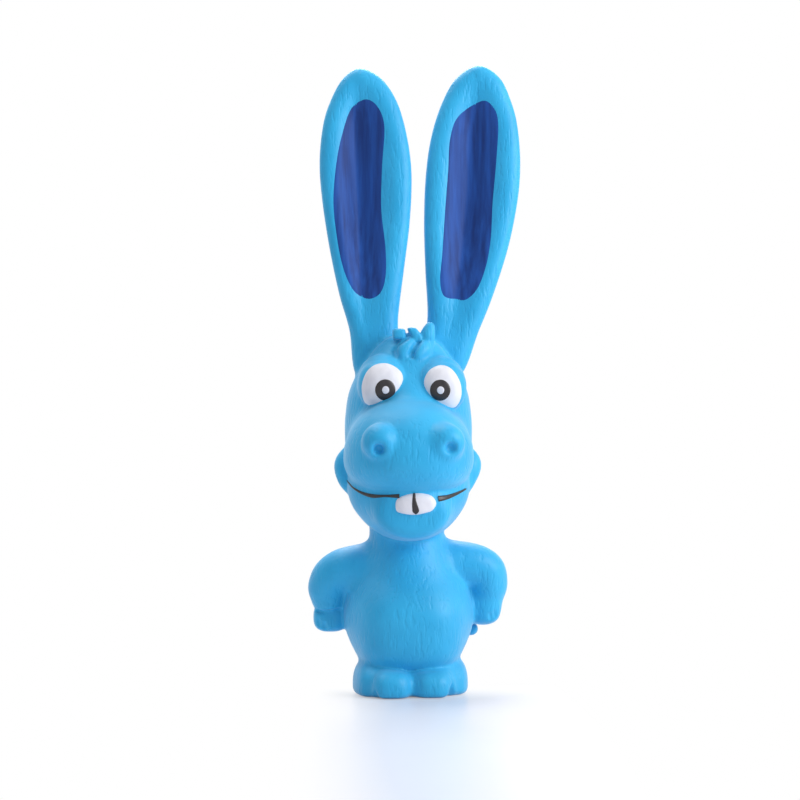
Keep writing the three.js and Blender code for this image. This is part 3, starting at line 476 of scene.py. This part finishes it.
def leaning(shape, lean):
    """A form whose upright lines lean: x moves by lean for each millimetre above its middle."""
    low, high = shape["box"]
    middle, reach = (low[2] + high[2]) / 2, abs(lean) * (high[2] - low[2]) / 2
    def distance(x, y, z):
        return shape["distance"](x - lean * (z - middle), y, z)
    return {"distance": distance, "box": (low - (reach, 0, 0), high + (reach, 0, 0))}


for points, radii in FOREHEAD_CURLS:
    skin, facing = onto_front(*np.array(points, float).T)
    add_form(limb(skin - CURL_SINK * np.array(radii)[:, None] * facing, radii), CURL_FILLET)
for path in CURL_CREASES:
    groove(path, CREASE_RADIUS, CREASE_FILLET)
tuft = lump((-0.6, -7.0, 122.8), (3.4, 3.0, 2.4))
right_lock = lump((-3.8, -8.8, 124.8), (2.3, 2.6, 1.9), LOCK_POWER)
middle_lock = leaning(lump((1.9, -9.0, 124.5), (1.8, 2.6, 2.6), LOCK_POWER), MIDDLE_LEAN)
left_lock = limb([(5.4, -7.6, 121.0), (6.1, -9.0, 124.4), (7.0, -9.0, 127.4)], (2.8, 2.5, 1.6))
for lock in (tuft, right_lock, middle_lock, left_lock):
    add_form(lock, LOCK_FILLET)
print("sculpted, share of the grid inside:", round(float((field < 0).mean()), 3))

# %% [markdown]
# ## From clay to skin
# A net is drawn where the distances change sign: each grid cell that the surface crosses gets one corner,
# and each grid line that it crosses gets one four-sided face between the four cells around it. The
# corners are then evened out and moved onto the surface, along the steepest way.

# %% Drawing the net


def draw_net():
    """One corner per crossed cell at the mean of its crossings, one face per crossed grid line."""
    inside = field < 0
    corners = [inside[tuple(slice(c, n - 1 + c) for c, n in zip(corner, field.shape))]
               for corner in np.ndindex(2, 2, 2)]
    count = sum(corner.astype(np.int8) for corner in corners)
    cells = np.argwhere((count > 0) & (count < 8))
    number = np.full(count.shape, -1)
    number[tuple(cells.T)] = np.arange(len(cells))
    total, crossings = np.zeros((len(cells), 3)), np.zeros(len(cells))
    for axis in range(3):
        step = np.eye(3, dtype=int)[axis]
        for corner in np.ndindex(2, 2, 2):
            if corner[axis] == 0:
                a = field[tuple((cells + corner).T)]
                b = field[tuple((cells + corner + step).T)]
                crossed = (a < 0) != (b < 0)
                share = np.where(crossed, a / np.where(crossed, a - b, 1), 0)
                total += np.where(crossed[:, None], np.array(corner) + share[:, None] * step, 0)
                crossings += crossed
    points = GRID_LOW + STEP * (cells + total / crossings[:, None])
    faces = []
    for axis in range(3):
        ahead, p, q = np.roll(np.eye(3, dtype=int), -axis, 0)
        first = inside[tuple(slice(0, n - a) for n, a in zip(inside.shape, ahead))]
        second = inside[tuple(slice(a, n) for n, a in zip(inside.shape, ahead))]
        lines = np.argwhere(first != second)
        ring = np.stack([number[tuple((lines - shift).T)] for shift in (p + q, q, 0 * p, p)], 1)
        turned = second[tuple(lines.T)]
        faces.append(np.where(turned[:, None], ring[:, ::-1], ring))
    return points, np.concatenate(faces)


def even_out(points, faces, rounds=4, least=0.05):
    """Moves each corner halfway to the mean of its neighbours, then back onto the surface."""
    a = np.concatenate([faces[:, k] for k in range(4)] * 2)
    b = np.concatenate([faces[:, (k + 1) % 4] for k in range(4)] + [faces[:, k - 1] for k in range(4)])
    links = np.bincount(a, minlength=len(points))[:, None]
    for _ in range(rounds):
        mean = np.stack([np.bincount(a, points[b, k], len(points)) for k in range(3)], 1) / links
        points = (points + mean) / 2
        slope = slope_at(points)
        steep = np.maximum((slope**2).sum(1), least)
        points = points - slope * (np.clip(sample(points), -STEP, STEP) / steep)[:, None]
    return points


net_points, net_faces = draw_net()
net_points = even_out(net_points, net_faces)
print("net corners", len(net_points), "faces", len(net_faces))
print("net reaches from", net_points.min(0), "to", net_points.max(0))

# %% [markdown]
# ## Cutting the skin where it bends
# The toy bends at the neck and the ears, and the belly gives when it is squeezed. The skin is cut into
# pieces at flat planes near those places. Both sides of a cut take their shading normals from the clay, so
# that the cut can't be seen at rest, and every piece gets a cap so that it stays a closed solid.

# %% Closed pieces of the skin


def skin_piece(name, *planes):
    """The net on the inner side of each plane (point, way out), closed with flat caps, as an object."""
    kept = np.ones(len(net_points), bool)
    for point, way in planes:
        kept &= (net_points - point) @ np.array(way, float) < 2 * STEP
    faces = net_faces[kept[net_faces].all(1)]
    used, faces = np.unique(faces, return_inverse=True)
    mesh = bpy.data.meshes.new(name)
    mesh.from_pydata(net_points[used], [], faces.reshape(-1, 4))
    mesh.shade_smooth()
    work = bmesh.new()
    work.from_mesh(mesh)
    for point, way in planes:
        parts = work.verts[:] + work.edges[:] + work.faces[:]
        cut = bmesh.ops.bisect_plane(work, geom=parts, plane_co=point, plane_no=way, clear_outer=True)
        rim = [part for part in cut["geom_cut"] if isinstance(part, bmesh.types.BMEdge)]
        bmesh.ops.holes_fill(work, edges=rim, sides=0)
    bmesh.ops.recalc_face_normals(work, faces=work.faces)
    work.to_mesh(mesh)
    work.free()
    finish_skin(mesh)
    made = bpy.data.objects.new(name, mesh)
    scene.collection.objects.link(made)
    print(name, "faces", len(mesh.polygons))
    return made


def read(items, name, kind, width=1):
    """One property of all the points, faces or face corners of a mesh, with a row for each."""
    values = np.empty(width * len(items), kind)
    items.foreach_get(name, values)
    return values.reshape(-1, width)


def finish_skin(mesh):
    """Gives round faces the clay's normals and caps their own, then moves the mesh to the row frame."""
    points = read(mesh.vertices, "co", float, 3)
    corner = read(mesh.loops, "vertex_index", np.int32)[:, 0]
    sides = read(mesh.polygons, "loop_total", np.int32)[:, 0]
    round_face, flat = read(mesh.polygons, "use_smooth", bool), read(mesh.polygons, "normal", float, 3)
    of_face = np.repeat(np.arange(len(sides)), sides)
    normals = np.where(round_face[of_face], outward(points)[corner], flat[of_face])
    mesh.vertices.foreach_set("co", to_row(points).ravel())
    mesh.update()
    mesh.normals_split_custom_set(normals)


FEET_TOP, NECK_CUT, EAR_CUT, BETWEEN_EARS = 13.6, 53.0, 131.0, 3.5
DOWN, UP, LEFT, RIGHT = (0, 0, -1), (0, 0, 1), (1, 0, 0), (-1, 0, 0)
latex = {
    "feet": skin_piece("latex_feet", ((0, 0, FEET_TOP), UP)),
    "torso": skin_piece("latex_torso", ((0, 0, FEET_TOP), DOWN), ((0, 0, NECK_CUT), UP)),
    "head": skin_piece("latex_head", ((0, 0, NECK_CUT), DOWN), ((0, 0, EAR_CUT), UP)),
    "ear_left": skin_piece("latex_ear_left", ((0, 0, EAR_CUT), DOWN), ((BETWEEN_EARS, 0, 0), RIGHT)),
    "ear_right": skin_piece("latex_ear_right", ((0, 0, EAR_CUT), DOWN), ((BETWEEN_EARS, 0, 0), LEFT)),
}

# %% [markdown]
# ## Tail
# Only the tip of the tail shows beside the left hip. It is a round profile carried along a path that
# hugs the back of the body: a root sunk in the latex, a thin stem and then a small drop of hair. It is a
# piece of its own, so that it can swing away from the hip.

# %% Tail
SHARP_EDGE = math.radians(60)


def object_from(name, points, faces):
    """A smooth object from points in figure millimetres."""
    mesh = bpy.data.meshes.new(name)
    mesh.from_pydata(to_row(points), [], faces)
    mesh.shade_smooth()
    mesh.set_sharp_from_angle(angle=SHARP_EDGE)
    made = bpy.data.objects.new(name, mesh)
    scene.collection.objects.link(made)
    return made


def closed_rings(rings, first, last):
    """Faces and points of rings of equal count, with a point closing each end."""
    count, sides = rings.shape[:2]
    points = np.concatenate([rings.reshape(-1, 3), [first, last]])
    ring, spot = np.meshgrid(np.arange(count - 1), np.arange(sides), indexing="ij")
    a, b = ring * sides + spot, ring * sides + (spot + 1) % sides
    walls = np.stack([a, b, b + sides, a + sides], -1).reshape(-1, 4)
    spot, start, end = np.arange(sides), count * sides, (count - 1) * sides
    front = np.stack([np.full(sides, start), (spot + 1) % sides, spot], 1)
    back = np.stack([np.full(sides, start + 1), end + spot, end + (spot + 1) % sides], 1)
    return points, walls.tolist() + front.tolist() + back.tolist()


def tube(path, radii, sides=20, end_cap=0.3):
    """A circle carried along a path, square to it: middle + radius * (cos * level + sin * upright)."""
    ahead = unit(np.gradient(path, axis=0))
    level = unit(np.cross(ahead, (0, 0, 1.0)))
    upright = np.cross(level, ahead)
    turn = np.linspace(0, 2 * math.pi, sides, endpoint=False)[None, :, None]
    circles = np.cos(turn) * level[:, None] + np.sin(turn) * upright[:, None]
    rings = path[:, None] + radii[:, None, None] * circles
    first = path[0] - ahead[0] * radii[0] * end_cap
    last = path[-1] + ahead[-1] * radii[-1] * end_cap
    return closed_rings(rings, first, last)


TAIL_TURN = through([(0, 90), (0.1, 86), (0.3, 66), (0.62, 40), (0.8, 28), (1, 15)])
TAIL_HEIGHT = through([(0, 22.2), (0.3, 19.7), (0.62, 20.0), (0.8, 20.6), (1, 21.4)])
TAIL_RADIUS = through([(0, 2.4), (0.12, 2.1), (0.3, 1.5), (0.62, 1.2), (0.72, 1.7), (0.88, 2.3),
                       (0.96, 2.0), (1, 1.0)])
TAIL_AWAY = through([(0, -3.0), (0.1, 0.6), (0.22, 2.2), (0.4, 2.4), (1, 2.4)])
TAIL_RINGS = 80
along = np.linspace(0, 1, TAIL_RINGS)
turn = np.radians(TAIL_TURN(along))
body = TORSO_HALF_WIDTH(TAIL_HEIGHT(along))
tail_path = np.stack([(body + TAIL_AWAY(along)) * np.cos(turn),
                      (body * TORSO_DEPTH + TAIL_AWAY(along)) * np.sin(turn), TAIL_HEIGHT(along)], 1)
latex["tail"] = object_from("latex_tail", *tube(tail_path, TAIL_RADIUS(along)))

# %% [markdown]
# ## Paint
# Eyes, teeth, mouth and ear linings are brushed on in thick paint. Each is a thin skin of its own: an
# outline as seen from the front is filled with rings from its middle to its edge, every point is thrown
# straight back onto the latex, and the paint rises from there by its thickness and thins out at the edge.

# %% Spots and strokes of paint
PAINT_UNDER, EDGE_THIN = 0.5, 0.98


def throw(flat, clay=field):
    """Points and normals of the skin behind an array of (x, z) pairs, as arrays of the same shape."""
    points, normals = onto_front(*flat.reshape(-1, 2).T, clay)
    shape = (*flat.shape[:-1], 3)
    return points.reshape(shape), normals.reshape(shape)


def paint_spot(name, outline, thick, lift=0.0, rings=16, sides=96, clay=field):
    """Rings from the middle to the outline, lifted by thick * sqrt(1 - r^4), and the same rings beneath."""
    loop = smooth_loop(outline, sides)
    middle = loop.mean(0)
    share = np.linspace(0, 1, rings + 1)[1:]
    points, normals = throw(middle + share[:, None, None] * (loop - middle), clay)
    rise = (lift + thick * np.sqrt(1 - share**4))[:, None, None]
    top, under = points + rise * normals, points + (lift - PAINT_UNDER) * normals
    pole, facing = onto_front(*middle[:, None], clay)
    ends = pole[0] + (lift + thick) * facing[0], pole[0] + (lift - PAINT_UNDER) * facing[0]
    return object_from(name, *closed_rings(np.concatenate([top, under[::-1]]), *ends))


def paint_stroke(name, path, widths, thick, lift=0.0, steps=60, across=9):
    """A brush stroke: an arched profile carried along a path on the latex, thin at its edges."""
    line, width = smooth_path(path, widths, steps)
    ahead = unit(np.gradient(line, axis=0))
    side = np.stack([-ahead[:, 1], ahead[:, 0]], 1)
    share = np.linspace(-1, 1, across)
    points, normals = throw(line[:, None] + (width[:, None] / 2 * share)[..., None] * side[:, None])
    rise = (lift + thick * np.sqrt(1 - EDGE_THIN * share**2))[None, :, None]
    rings = np.concatenate([points + rise * normals, (points + (lift - PAINT_UNDER) * normals)[:, ::-1]], 1)
    return object_from(name, *closed_rings(rings, rings[0].mean(0), rings[-1].mean(0)))


def circle(x, z, radius, squeeze=1.0, count=12):
    """Points of a round spot."""
    turn = np.linspace(0, 2 * math.pi, count, endpoint=False)
    return np.stack([x + radius * np.cos(turn), z + radius * squeeze * np.sin(turn)], 1)


# %% Eyes, pupils and glints
EYE_OUTLINES = {
    "right": [(-2.6, 107.7), (-3.0, 110.6), (-5.1, 113.0), (-8.6, 114.5), (-12.4, 114.0), (-15.3, 111.6),
              (-16.9, 107.6), (-16.9, 104.0), (-15.8, 100.8), (-13.6, 99.4), (-10.4, 100.4), (-7.0, 101.4),
              (-4.2, 104.1)],
    "left": [(4.3, 106.9), (4.8, 110.0), (6.8, 112.6), (10.3, 113.9), (13.8, 112.6), (16.5, 108.6),
             (17.3, 104.6), (16.7, 101.6), (15.2, 99.4), (12.6, 98.9), (9.2, 100.6), (5.7, 104.1)],
}
PUPILS = {"right": (-9.1, 105.4), "left": (9.8, 105.3)}
PUPIL_RADIUS, PUPIL_TALL, GLINT_RADIUS, GLINT_TALL, GLINT_SHIFT = 3.4, 1.04, 1.2, 1.06, 0.1
PAINT_THICK, PUPIL_THICK, GLINT_THICK, GLINT_LIFT = 0.35, 0.25, 0.15, 0.58
paint = {}
for side, outline in EYE_OUTLINES.items():
    x, z = PUPILS[side]
    pupil = circle(x, z, PUPIL_RADIUS, PUPIL_TALL)
    glint = circle(x + GLINT_SHIFT, z, GLINT_RADIUS, GLINT_TALL)
    for form, edge, thick, lift in (("eye_", outline, PAINT_THICK, 0.0),
                                    ("pupil_", pupil, PUPIL_THICK, PAINT_THICK),
                                    ("glint_", glint, GLINT_THICK, GLINT_LIFT)):
        node = form + side
        paint[node] = paint_spot("paint_" + node, edge, thick, lift, clay=bare_face)

# %% Teeth and mouth
TEETH_OUTLINE = [(-6.1, 66.6), (-5.6, 64.2), (-2.7, 63.3), (0.6, 63.0), (3.6, 63.6), (6.2, 64.5),
                 (7.7, 66.8), (6.5, 69.1), (4.0, 70.2), (0.6, 70.4), (-2.4, 69.9), (-5.3, 68.6)]
TOOTH_PARTING = [(0.2, 70.4), (0.1, 68), (0.4, 65.8), (0.7, 64.4), (0.8, 63.6)]
PARTING_WIDTHS, STROKE_THICK, PARTING_LIFT = (0.7, 1.4, 2.2, 2.3, 0.8), 0.3, 0.25
MOUTH = {
    "right": ([(-21.9, 74.1), (-20.2, 72.0), (-17.4, 70.3), (-13.8, 69.3), (-9.5, 69.4), (-4.8, 69.4)],
              (0.2, 0.5, 0.9, 1.3, 0.8, 1.5)),
    "left": ([(8.4, 68.4), (11.7, 68.9), (15.0, 69.9), (18.6, 71.4)], (2.0, 1.5, 1.1, 0.5)),
}
paint["front_teeth"] = paint_spot("paint_front_teeth", TEETH_OUTLINE, PAINT_THICK)
paint["tooth_parting"] = paint_stroke("paint_tooth_parting", TOOTH_PARTING, PARTING_WIDTHS, STROKE_THICK,
                                      PARTING_LIFT)
for side, (path, widths) in MOUTH.items():
    paint["mouth_line_" + side] = paint_stroke("paint_mouth_" + side, path, widths, STROKE_THICK)

# %% Ear linings
LINING_OUTLINES = {
    "right": [(-14.9, 207.8), (-10.6, 205.2), (-8.2, 198), (-9.0, 184), (-9.3, 169), (-7.9, 155),
              (-8.0, 145), (-10.0, 139.2), (-14.4, 137.4), (-19.4, 140.6), (-23.1, 149.2), (-25.4, 162),
              (-26.2, 173), (-25.0, 186), (-22.9, 196), (-19.8, 204.6)],
    "left": [(26.2, 207.5), (30.4, 205.0), (32.0, 199), (31.2, 185), (29.9, 171), (29.2, 159),
             (27.4, 149), (24.4, 141.2), (20.4, 137.2), (16.4, 137.3), (12.4, 138.6), (11.2, 144),
             (12.0, 153), (13.0, 167), (14.2, 182), (15.0, 194), (18.0, 202)],
}
LINING_THICK, LINING_RINGS, LINING_SIDES = 0.12, 40, 180
for side, outline in LINING_OUTLINES.items():
    paint["ear_lining_" + side] = paint_spot("paint_lining_" + side, outline, LINING_THICK,
                                             rings=LINING_RINGS, sides=LINING_SIDES)

# %% [markdown]
# ## Colours and finishes
# Every finish is worked out from small patterns in millimetres. Colours are written as they look on
# screen and turned to the linear light that the renderer mixes.

# %% Helpers for materials


def colour(code):
    """An sRGB hex code as linear red, green, blue and alpha."""
    parts = [int(code[i:i + 2], 16) / 255 for i in (1, 3, 5)]
    return (*(c / 12.92 if c < 0.04045 else ((c + 0.055) / 1.055) ** 2.4 for c in parts), 1.0)


def add_node(tree, kind, inputs=(), **settings):
    """A node with its settings; an input that is a socket is linked, and any other is set."""
    made = tree.nodes.new("ShaderNode" + kind)
    for key, value in settings.items():
        setattr(made, key, value)
    for name, value in dict(inputs).items():
        if isinstance(value, bpy.types.NodeSocket):
            tree.links.new(value, made.inputs[name])
        else:
            made.inputs[name].default_value = value
    return made


def per_mm(size):
    """A texture scale on coordinates in metres, for a pattern of that many millimetres."""
    return 1000 / size


def new_finish(name):
    """An empty material with its node tree and object coordinates."""
    made = bpy.data.materials.new(name)
    made.use_nodes = True
    tree = made.node_tree
    tree.nodes.clear()
    place = add_node(tree, "TexCoord").outputs["Object"]
    return made, tree, place


def two_tones(tree, place, size_mm, detail, codes, shares=(0, 1)):
    """Clouds of two colours of that size in millimetres, and the noise that mixes them."""
    noise = add_node(tree, "TexNoise", {"Vector": place, "Scale": per_mm(size_mm), "Detail": detail})
    ramp = add_node(tree, "ValToRGB", {"Fac": noise.outputs["Fac"]})
    for stop, share, code in zip(ramp.color_ramp.elements, shares, codes):
        stop.position, stop.color = share, colour(code)
    return ramp.outputs[0], noise.outputs["Fac"]


def output(tree, shader):
    """Ends a material with its shader."""
    add_node(tree, "OutputMaterial", {"Surface": shader.outputs[0]})


# %% Moulded latex, matt and slightly powdery, with strokes of fur engraved in the mould


def moulded_latex():
    """Two blues a shade apart, fine grain, and short upright strokes pressed in."""
    made, tree, place = new_finish("moulded_latex_blue")
    tone, _ = two_tones(tree, place, 14, 3.0, ("#20a1d6", "#2cace0"), (0.3, 0.7))
    # Strokes 1.3 mm wide and three times as long, a little coarser than the mould's so that they show
    tall = add_node(tree, "Mapping", {"Vector": place, "Scale": (1, 1, 0.3)})
    strokes = add_node(tree, "TexNoise", {"Vector": tall.outputs[0], "Scale": per_mm(1.3), "Detail": 1.0})
    pressed = add_node(tree, "MapRange", {"Value": strokes.outputs["Fac"], "From Min": 0.52,
                                          "From Max": 0.70})
    facing = add_node(tree, "SeparateXYZ", {"Vector": place.node.outputs["Normal"]})
    level = add_node(tree, "Math", {0: facing.outputs["Z"]}, operation="ABSOLUTE")
    side_on = add_node(tree, "MapRange", {"Value": level.outputs[0], "From Min": 0.45, "From Max": 0.85,
                                          "To Min": 1.0, "To Max": 0.0})
    kept = add_node(tree, "Math", {0: pressed.outputs[0], 1: side_on.outputs[0]}, operation="MULTIPLY")
    grain = add_node(tree, "TexNoise", {"Vector": place, "Scale": per_mm(0.7), "Detail": 2.0})
    grooves = add_node(tree, "Bump", {"Height": kept.outputs[0], "Strength": 0.34, "Distance": 0.0003},
                       invert=True)
    skin = add_node(tree, "Bump", {"Height": grain.outputs["Fac"], "Strength": 0.12, "Distance": 0.0002,
                                   "Normal": grooves.outputs[0]})
    shader = add_node(tree, "BsdfPrincipled", {
        "Base Color": tone, "Roughness": 0.46, "Specular IOR Level": 0.32,
        "Normal": skin.outputs[0], "Sheen Weight": 0.2, "Sheen Roughness": 0.5})
    output(tree, shader)
    return made


# %% Brushed-on acrylic paints


def brushed_paint(name, dark, light, roughness, shine, streak_mm, stretch):
    """Acrylic paint laid on with a brush: streaks of two tones along the stroke and a soft shine."""
    made, tree, place = new_finish(name)
    drawn = add_node(tree, "Mapping", {"Vector": place, "Scale": (1, 1, stretch)})
    tone, streaks = two_tones(tree, drawn.outputs[0], streak_mm, 4.0, (dark, light), (0.35, 0.7))
    ridges = add_node(tree, "Bump", {"Height": streaks, "Strength": 0.15, "Distance": 0.0002})
    shader = add_node(tree, "BsdfPrincipled", {
        "Base Color": tone, "Roughness": roughness, "Specular IOR Level": shine,
        "Normal": ridges.outputs[0]})
    output(tree, shader)
    return made


# %% Moulded plastics of the whistle


def moulded_plastic(name, base, other, roughness):
    """Injection-moulded plastic: an even tone with a faint flow pattern and a fine mould texture."""
    made, tree, place = new_finish(name)
    tone, _ = two_tones(tree, place, 6, 2.0, (base, other))
    grain = add_node(tree, "TexNoise", {"Vector": place, "Scale": per_mm(0.4), "Detail": 1.0})
    skin = add_node(tree, "Bump", {"Height": grain.outputs["Fac"], "Strength": 0.1, "Distance": 0.0001})
    shader = add_node(tree, "BsdfPrincipled", {
        "Base Color": tone, "Roughness": roughness, "IOR": 1.49, "Normal": skin.outputs[0]})
    output(tree, shader)
    return made


# %% The finishes: for paint two tones, roughness, shine, width of a streak in mm and its shortening
LATEX = moulded_latex()
FINISHES = {
    "ear_paint": brushed_paint("ultramarine_brushed_paint", "#223d7c", "#2a56a6", 0.42, 0.09, 2.2, 0.08),
    "white_paint": brushed_paint("white_brushed_paint", "#d7d8e1", "#e4e5ed", 0.4, 0.4, 3.0, 0.5),
    "black_paint": brushed_paint("black_brushed_paint", "#191619", "#2a262a", 0.38, 0.5, 1.2, 0.4),
}
WHISTLE_PLASTIC = moulded_plastic("moulded_polypropylene_white", "#e6e6e2", "#f0f0ec", 0.45)
REED_FILM = moulded_plastic("polystyrene_reed_film", "#e9e4d2", "#f1ecdc", 0.25)

# %% [markdown]
# ## Who moves with whom
# Rubber has no hinges: the belly dents under a thumb, the neck rolls and an ear folds above its root.
# Here the feet follow the torso's body of the CAD model, the tail follows its own body and the face paint
# the head's, while the torso, head, ears and ear linings are set in place and follow no body.

# %% Latex pieces
STANDS_FOR = {
    "feet": ["foot_left", "foot_right"],
    "torso": ["torso_skin", "belly_wall", "arm_left", "arm_right", "body_fill"],
    "head": ["head_skin", "head_fill", "muzzle", "jaw", "forelock"]
            + [form + "_" + side for form in ("cheek", "brow", "ear_root") for side in ("left", "right")],
    "ear_left": ["ear_left"],
    "ear_right": ["ear_right"],
    "tail": ["tail", "tail_tuft"],
}
for form, piece in latex.items():
    piece.data.materials.append(LATEX)
    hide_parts(*STANDS_FOR[form])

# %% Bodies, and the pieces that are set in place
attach(latex["feet"], "torso")
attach(latex["tail"], "tail")
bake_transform(latex["torso"])
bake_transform(latex["head"])
for side in ("left", "right"):
    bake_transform(latex["ear_" + side])

# %% Painted pieces
for node, piece in paint.items():
    kind = "ear_paint" if "lining" in node else "black_paint"
    if node.startswith(("eye", "glint", "front_teeth")):
        kind = "white_paint"
    piece.data.materials.append(FINISHES[kind])
    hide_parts(node)
    if "lining" in node:
        side = node.split("_")[-1]
        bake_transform(piece)
    else:
        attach(piece, "head")

# %% Whistle, kept as the CAD made it
for node in ("squeaker_cup", "squeaker_lid", "reed_block", "reed_wedge", "reed_tongue"):
    solid = frame["nodes"][node]
    solid.data.materials.clear()
    solid.data.materials.append(REED_FILM if node == "reed_tongue" else WHISTLE_PLASTIC)

# %% [markdown]
# ## Studio
# The toy stands on pale grey card in front of white. Three large soft lamps light it: one from the right,
# one from behind and one from above, so its shadow falls forwards and to the left. Near the feet the card
# takes that shadow, and its grey tone there is painted shade as well. To the sides and behind, it fades to
# plain white for the camera, which paints white over the part of the shadow that falls there.

# %% Floor of card whose grey tone is painted shade near the feet, with a satin surface that mirrors the feet a little


def seen_directly(tree):
    """1 for rays from the camera and those that a mirror or glass sends on, and 0 for scattered light."""
    ray = add_node(tree, "LightPath")
    seen = ray.outputs["Is Camera Ray"]
    for kind in ("Is Glossy Ray", "Is Transmission Ray"):
        seen = add_node(tree, "Math", {0: seen, 1: ray.outputs[kind]}, operation="MAXIMUM").outputs[0]
    return seen


# The card shows in an ellipse that reaches forwards from the feet, and its grey tone there is painted shade
# over the lamps' real shadow; past FLOOR_WHITE and behind the toy the camera sees plain white, painted over
# the shadow that falls there.
FLOOR_HALF, FLOOR_NEAR, FLOOR_WHITE = 1.6, 0.45, 1.0
FLOOR_CENTRE, FLOOR_SPREAD = (0.003, -0.15, 0), (0.047, 0.36, 1.0)
FLOOR_TURN = (0, 0, math.radians(-2))
FLOOR_BEHIND = (-0.035, 0.025)


def floor_with_painted_shade():
    """Grey card near the toy, whose tone is painted shade in front of the feet, and plain white light for
    the camera further away, painted over the shadow there.
    """
    made, tree, place = new_finish("card_with_painted_shade")
    spread = add_node(tree, "Mapping", {"Vector": place, "Location": FLOOR_CENTRE, "Rotation": FLOOR_TURN,
                                        "Scale": FLOOR_SPREAD}, vector_type="TEXTURE")
    away = add_node(tree, "VectorMath", {0: spread.outputs[0]}, operation="LENGTH")
    ahead = add_node(tree, "MapRange", {"Value": away.outputs["Value"], "From Min": FLOOR_NEAR,
                                        "From Max": FLOOR_WHITE})
    depth = add_node(tree, "SeparateXYZ", {"Vector": place})
    white_over_shadow_behind = add_node(tree, "MapRange", {"Value": depth.outputs["Y"], "From Min": FLOOR_BEHIND[0],
                                         "From Max": FLOOR_BEHIND[1]}, interpolation_type="SMOOTHSTEP")
    white_over_shadow = add_node(tree, "Math", {0: ahead.outputs[0], 1: white_over_shadow_behind.outputs[0]}, operation="MAXIMUM")
    # The card's grey-lavender tone is painted shade for the zone in front of the feet, and the lamps add
    # their real shadow on top.
    tone, _ = two_tones(tree, place, 40, 2.0, ("#dfe0e9", "#e3e4ec"))
    card = add_node(tree, "BsdfPrincipled", {"Base Color": tone, "Roughness": 0.32, "IOR": 1.33})
    white = add_node(tree, "Emission", {"Color": (1, 1, 1, 1), "Strength": 1.0})
    share = add_node(tree, "Math", {0: white_over_shadow.outputs[0], 1: seen_directly(tree)}, operation="MULTIPLY")
    output(tree, add_node(tree, "MixShader", {0: share.outputs[0], 1: card.outputs[0],
                                              2: white.outputs[0]}))
    return made


corner = np.array([(-1, -1, 0), (1, -1, 0), (1, 1, 0), (-1, 1, 0)]) * FLOOR_HALF
floor_mesh = bpy.data.meshes.new("floor")
floor_mesh.from_pydata(corner, [], [(0, 1, 2, 3)])
floor_mesh.materials.append(floor_with_painted_shade())
floor = bpy.data.objects.new("floor", floor_mesh)
scene.collection.objects.link(floor)

# %% White surround
scene.view_settings.view_transform = "Standard"
world = bpy.data.worlds.new("white_surround")
scene.world = world
world.use_nodes = True
tree = world.node_tree
tree.nodes.clear()
SURROUND_LIGHT = 0.43
level = add_node(tree, "MapRange", {"Value": seen_directly(tree), "To Min": SURROUND_LIGHT, "To Max": 1.0})
sky = add_node(tree, "Background", {"Color": (1, 1, 1, 1), "Strength": level.outputs[0]})
add_node(tree, "OutputWorld", {"Surface": sky.outputs[0]})

# %% Lamps: place and width in metres, and power in watts
LAMPS = {
    "key": ((0.44, -0.23, 0.29), 0.38, 2.5),
    "back": ((0.0, 0.33, 0.48), 0.38, 2.05),
    "top": ((-0.12, 0.06, 0.57), 0.38, 1.4),
}
AIM = to_row((0, 0, 100))
for name, (place, size, power) in LAMPS.items():
    lamp = bpy.data.lights.new(name, "AREA")
    lamp.shape, lamp.size, lamp.energy = "DISK", size, power
    holder = bpy.data.objects.new(name, lamp)
    scene.collection.objects.link(holder)
    holder.location = place
    holder.rotation_euler = (Vector(AIM) - Vector(place)).to_track_quat("-Z", "Y").to_euler()

# %% Camera: level, 102 mm above the floor, a little to the left of the toy's face
CAMERA_AWAY, CAMERA_HEIGHT, CAMERA_TURN = 930.0, 101.9, math.radians(3.0)
PX_PER_MM, IMAGE_SIDE, AXIS_PX = 2.856, 800, 408.5
SENSOR = 36.0
ahead = np.array([math.sin(CAMERA_TURN), math.cos(CAMERA_TURN), 0])
across = np.array([math.cos(CAMERA_TURN), -math.sin(CAMERA_TURN), 0])
spot = -CAMERA_AWAY * ahead - (AXIS_PX - IMAGE_SIDE / 2) / PX_PER_MM * across + (0, 0, CAMERA_HEIGHT)
camera = bpy.data.objects.new("camera", bpy.data.cameras.new("camera"))
camera.data.sensor_width = SENSOR
camera.data.lens = SENSOR * CAMERA_AWAY / (IMAGE_SIDE / PX_PER_MM)
camera.location = to_row(spot)
camera.rotation_euler = (math.pi / 2, 0, -CAMERA_TURN)
scene.collection.objects.link(camera)
scene.camera = camera
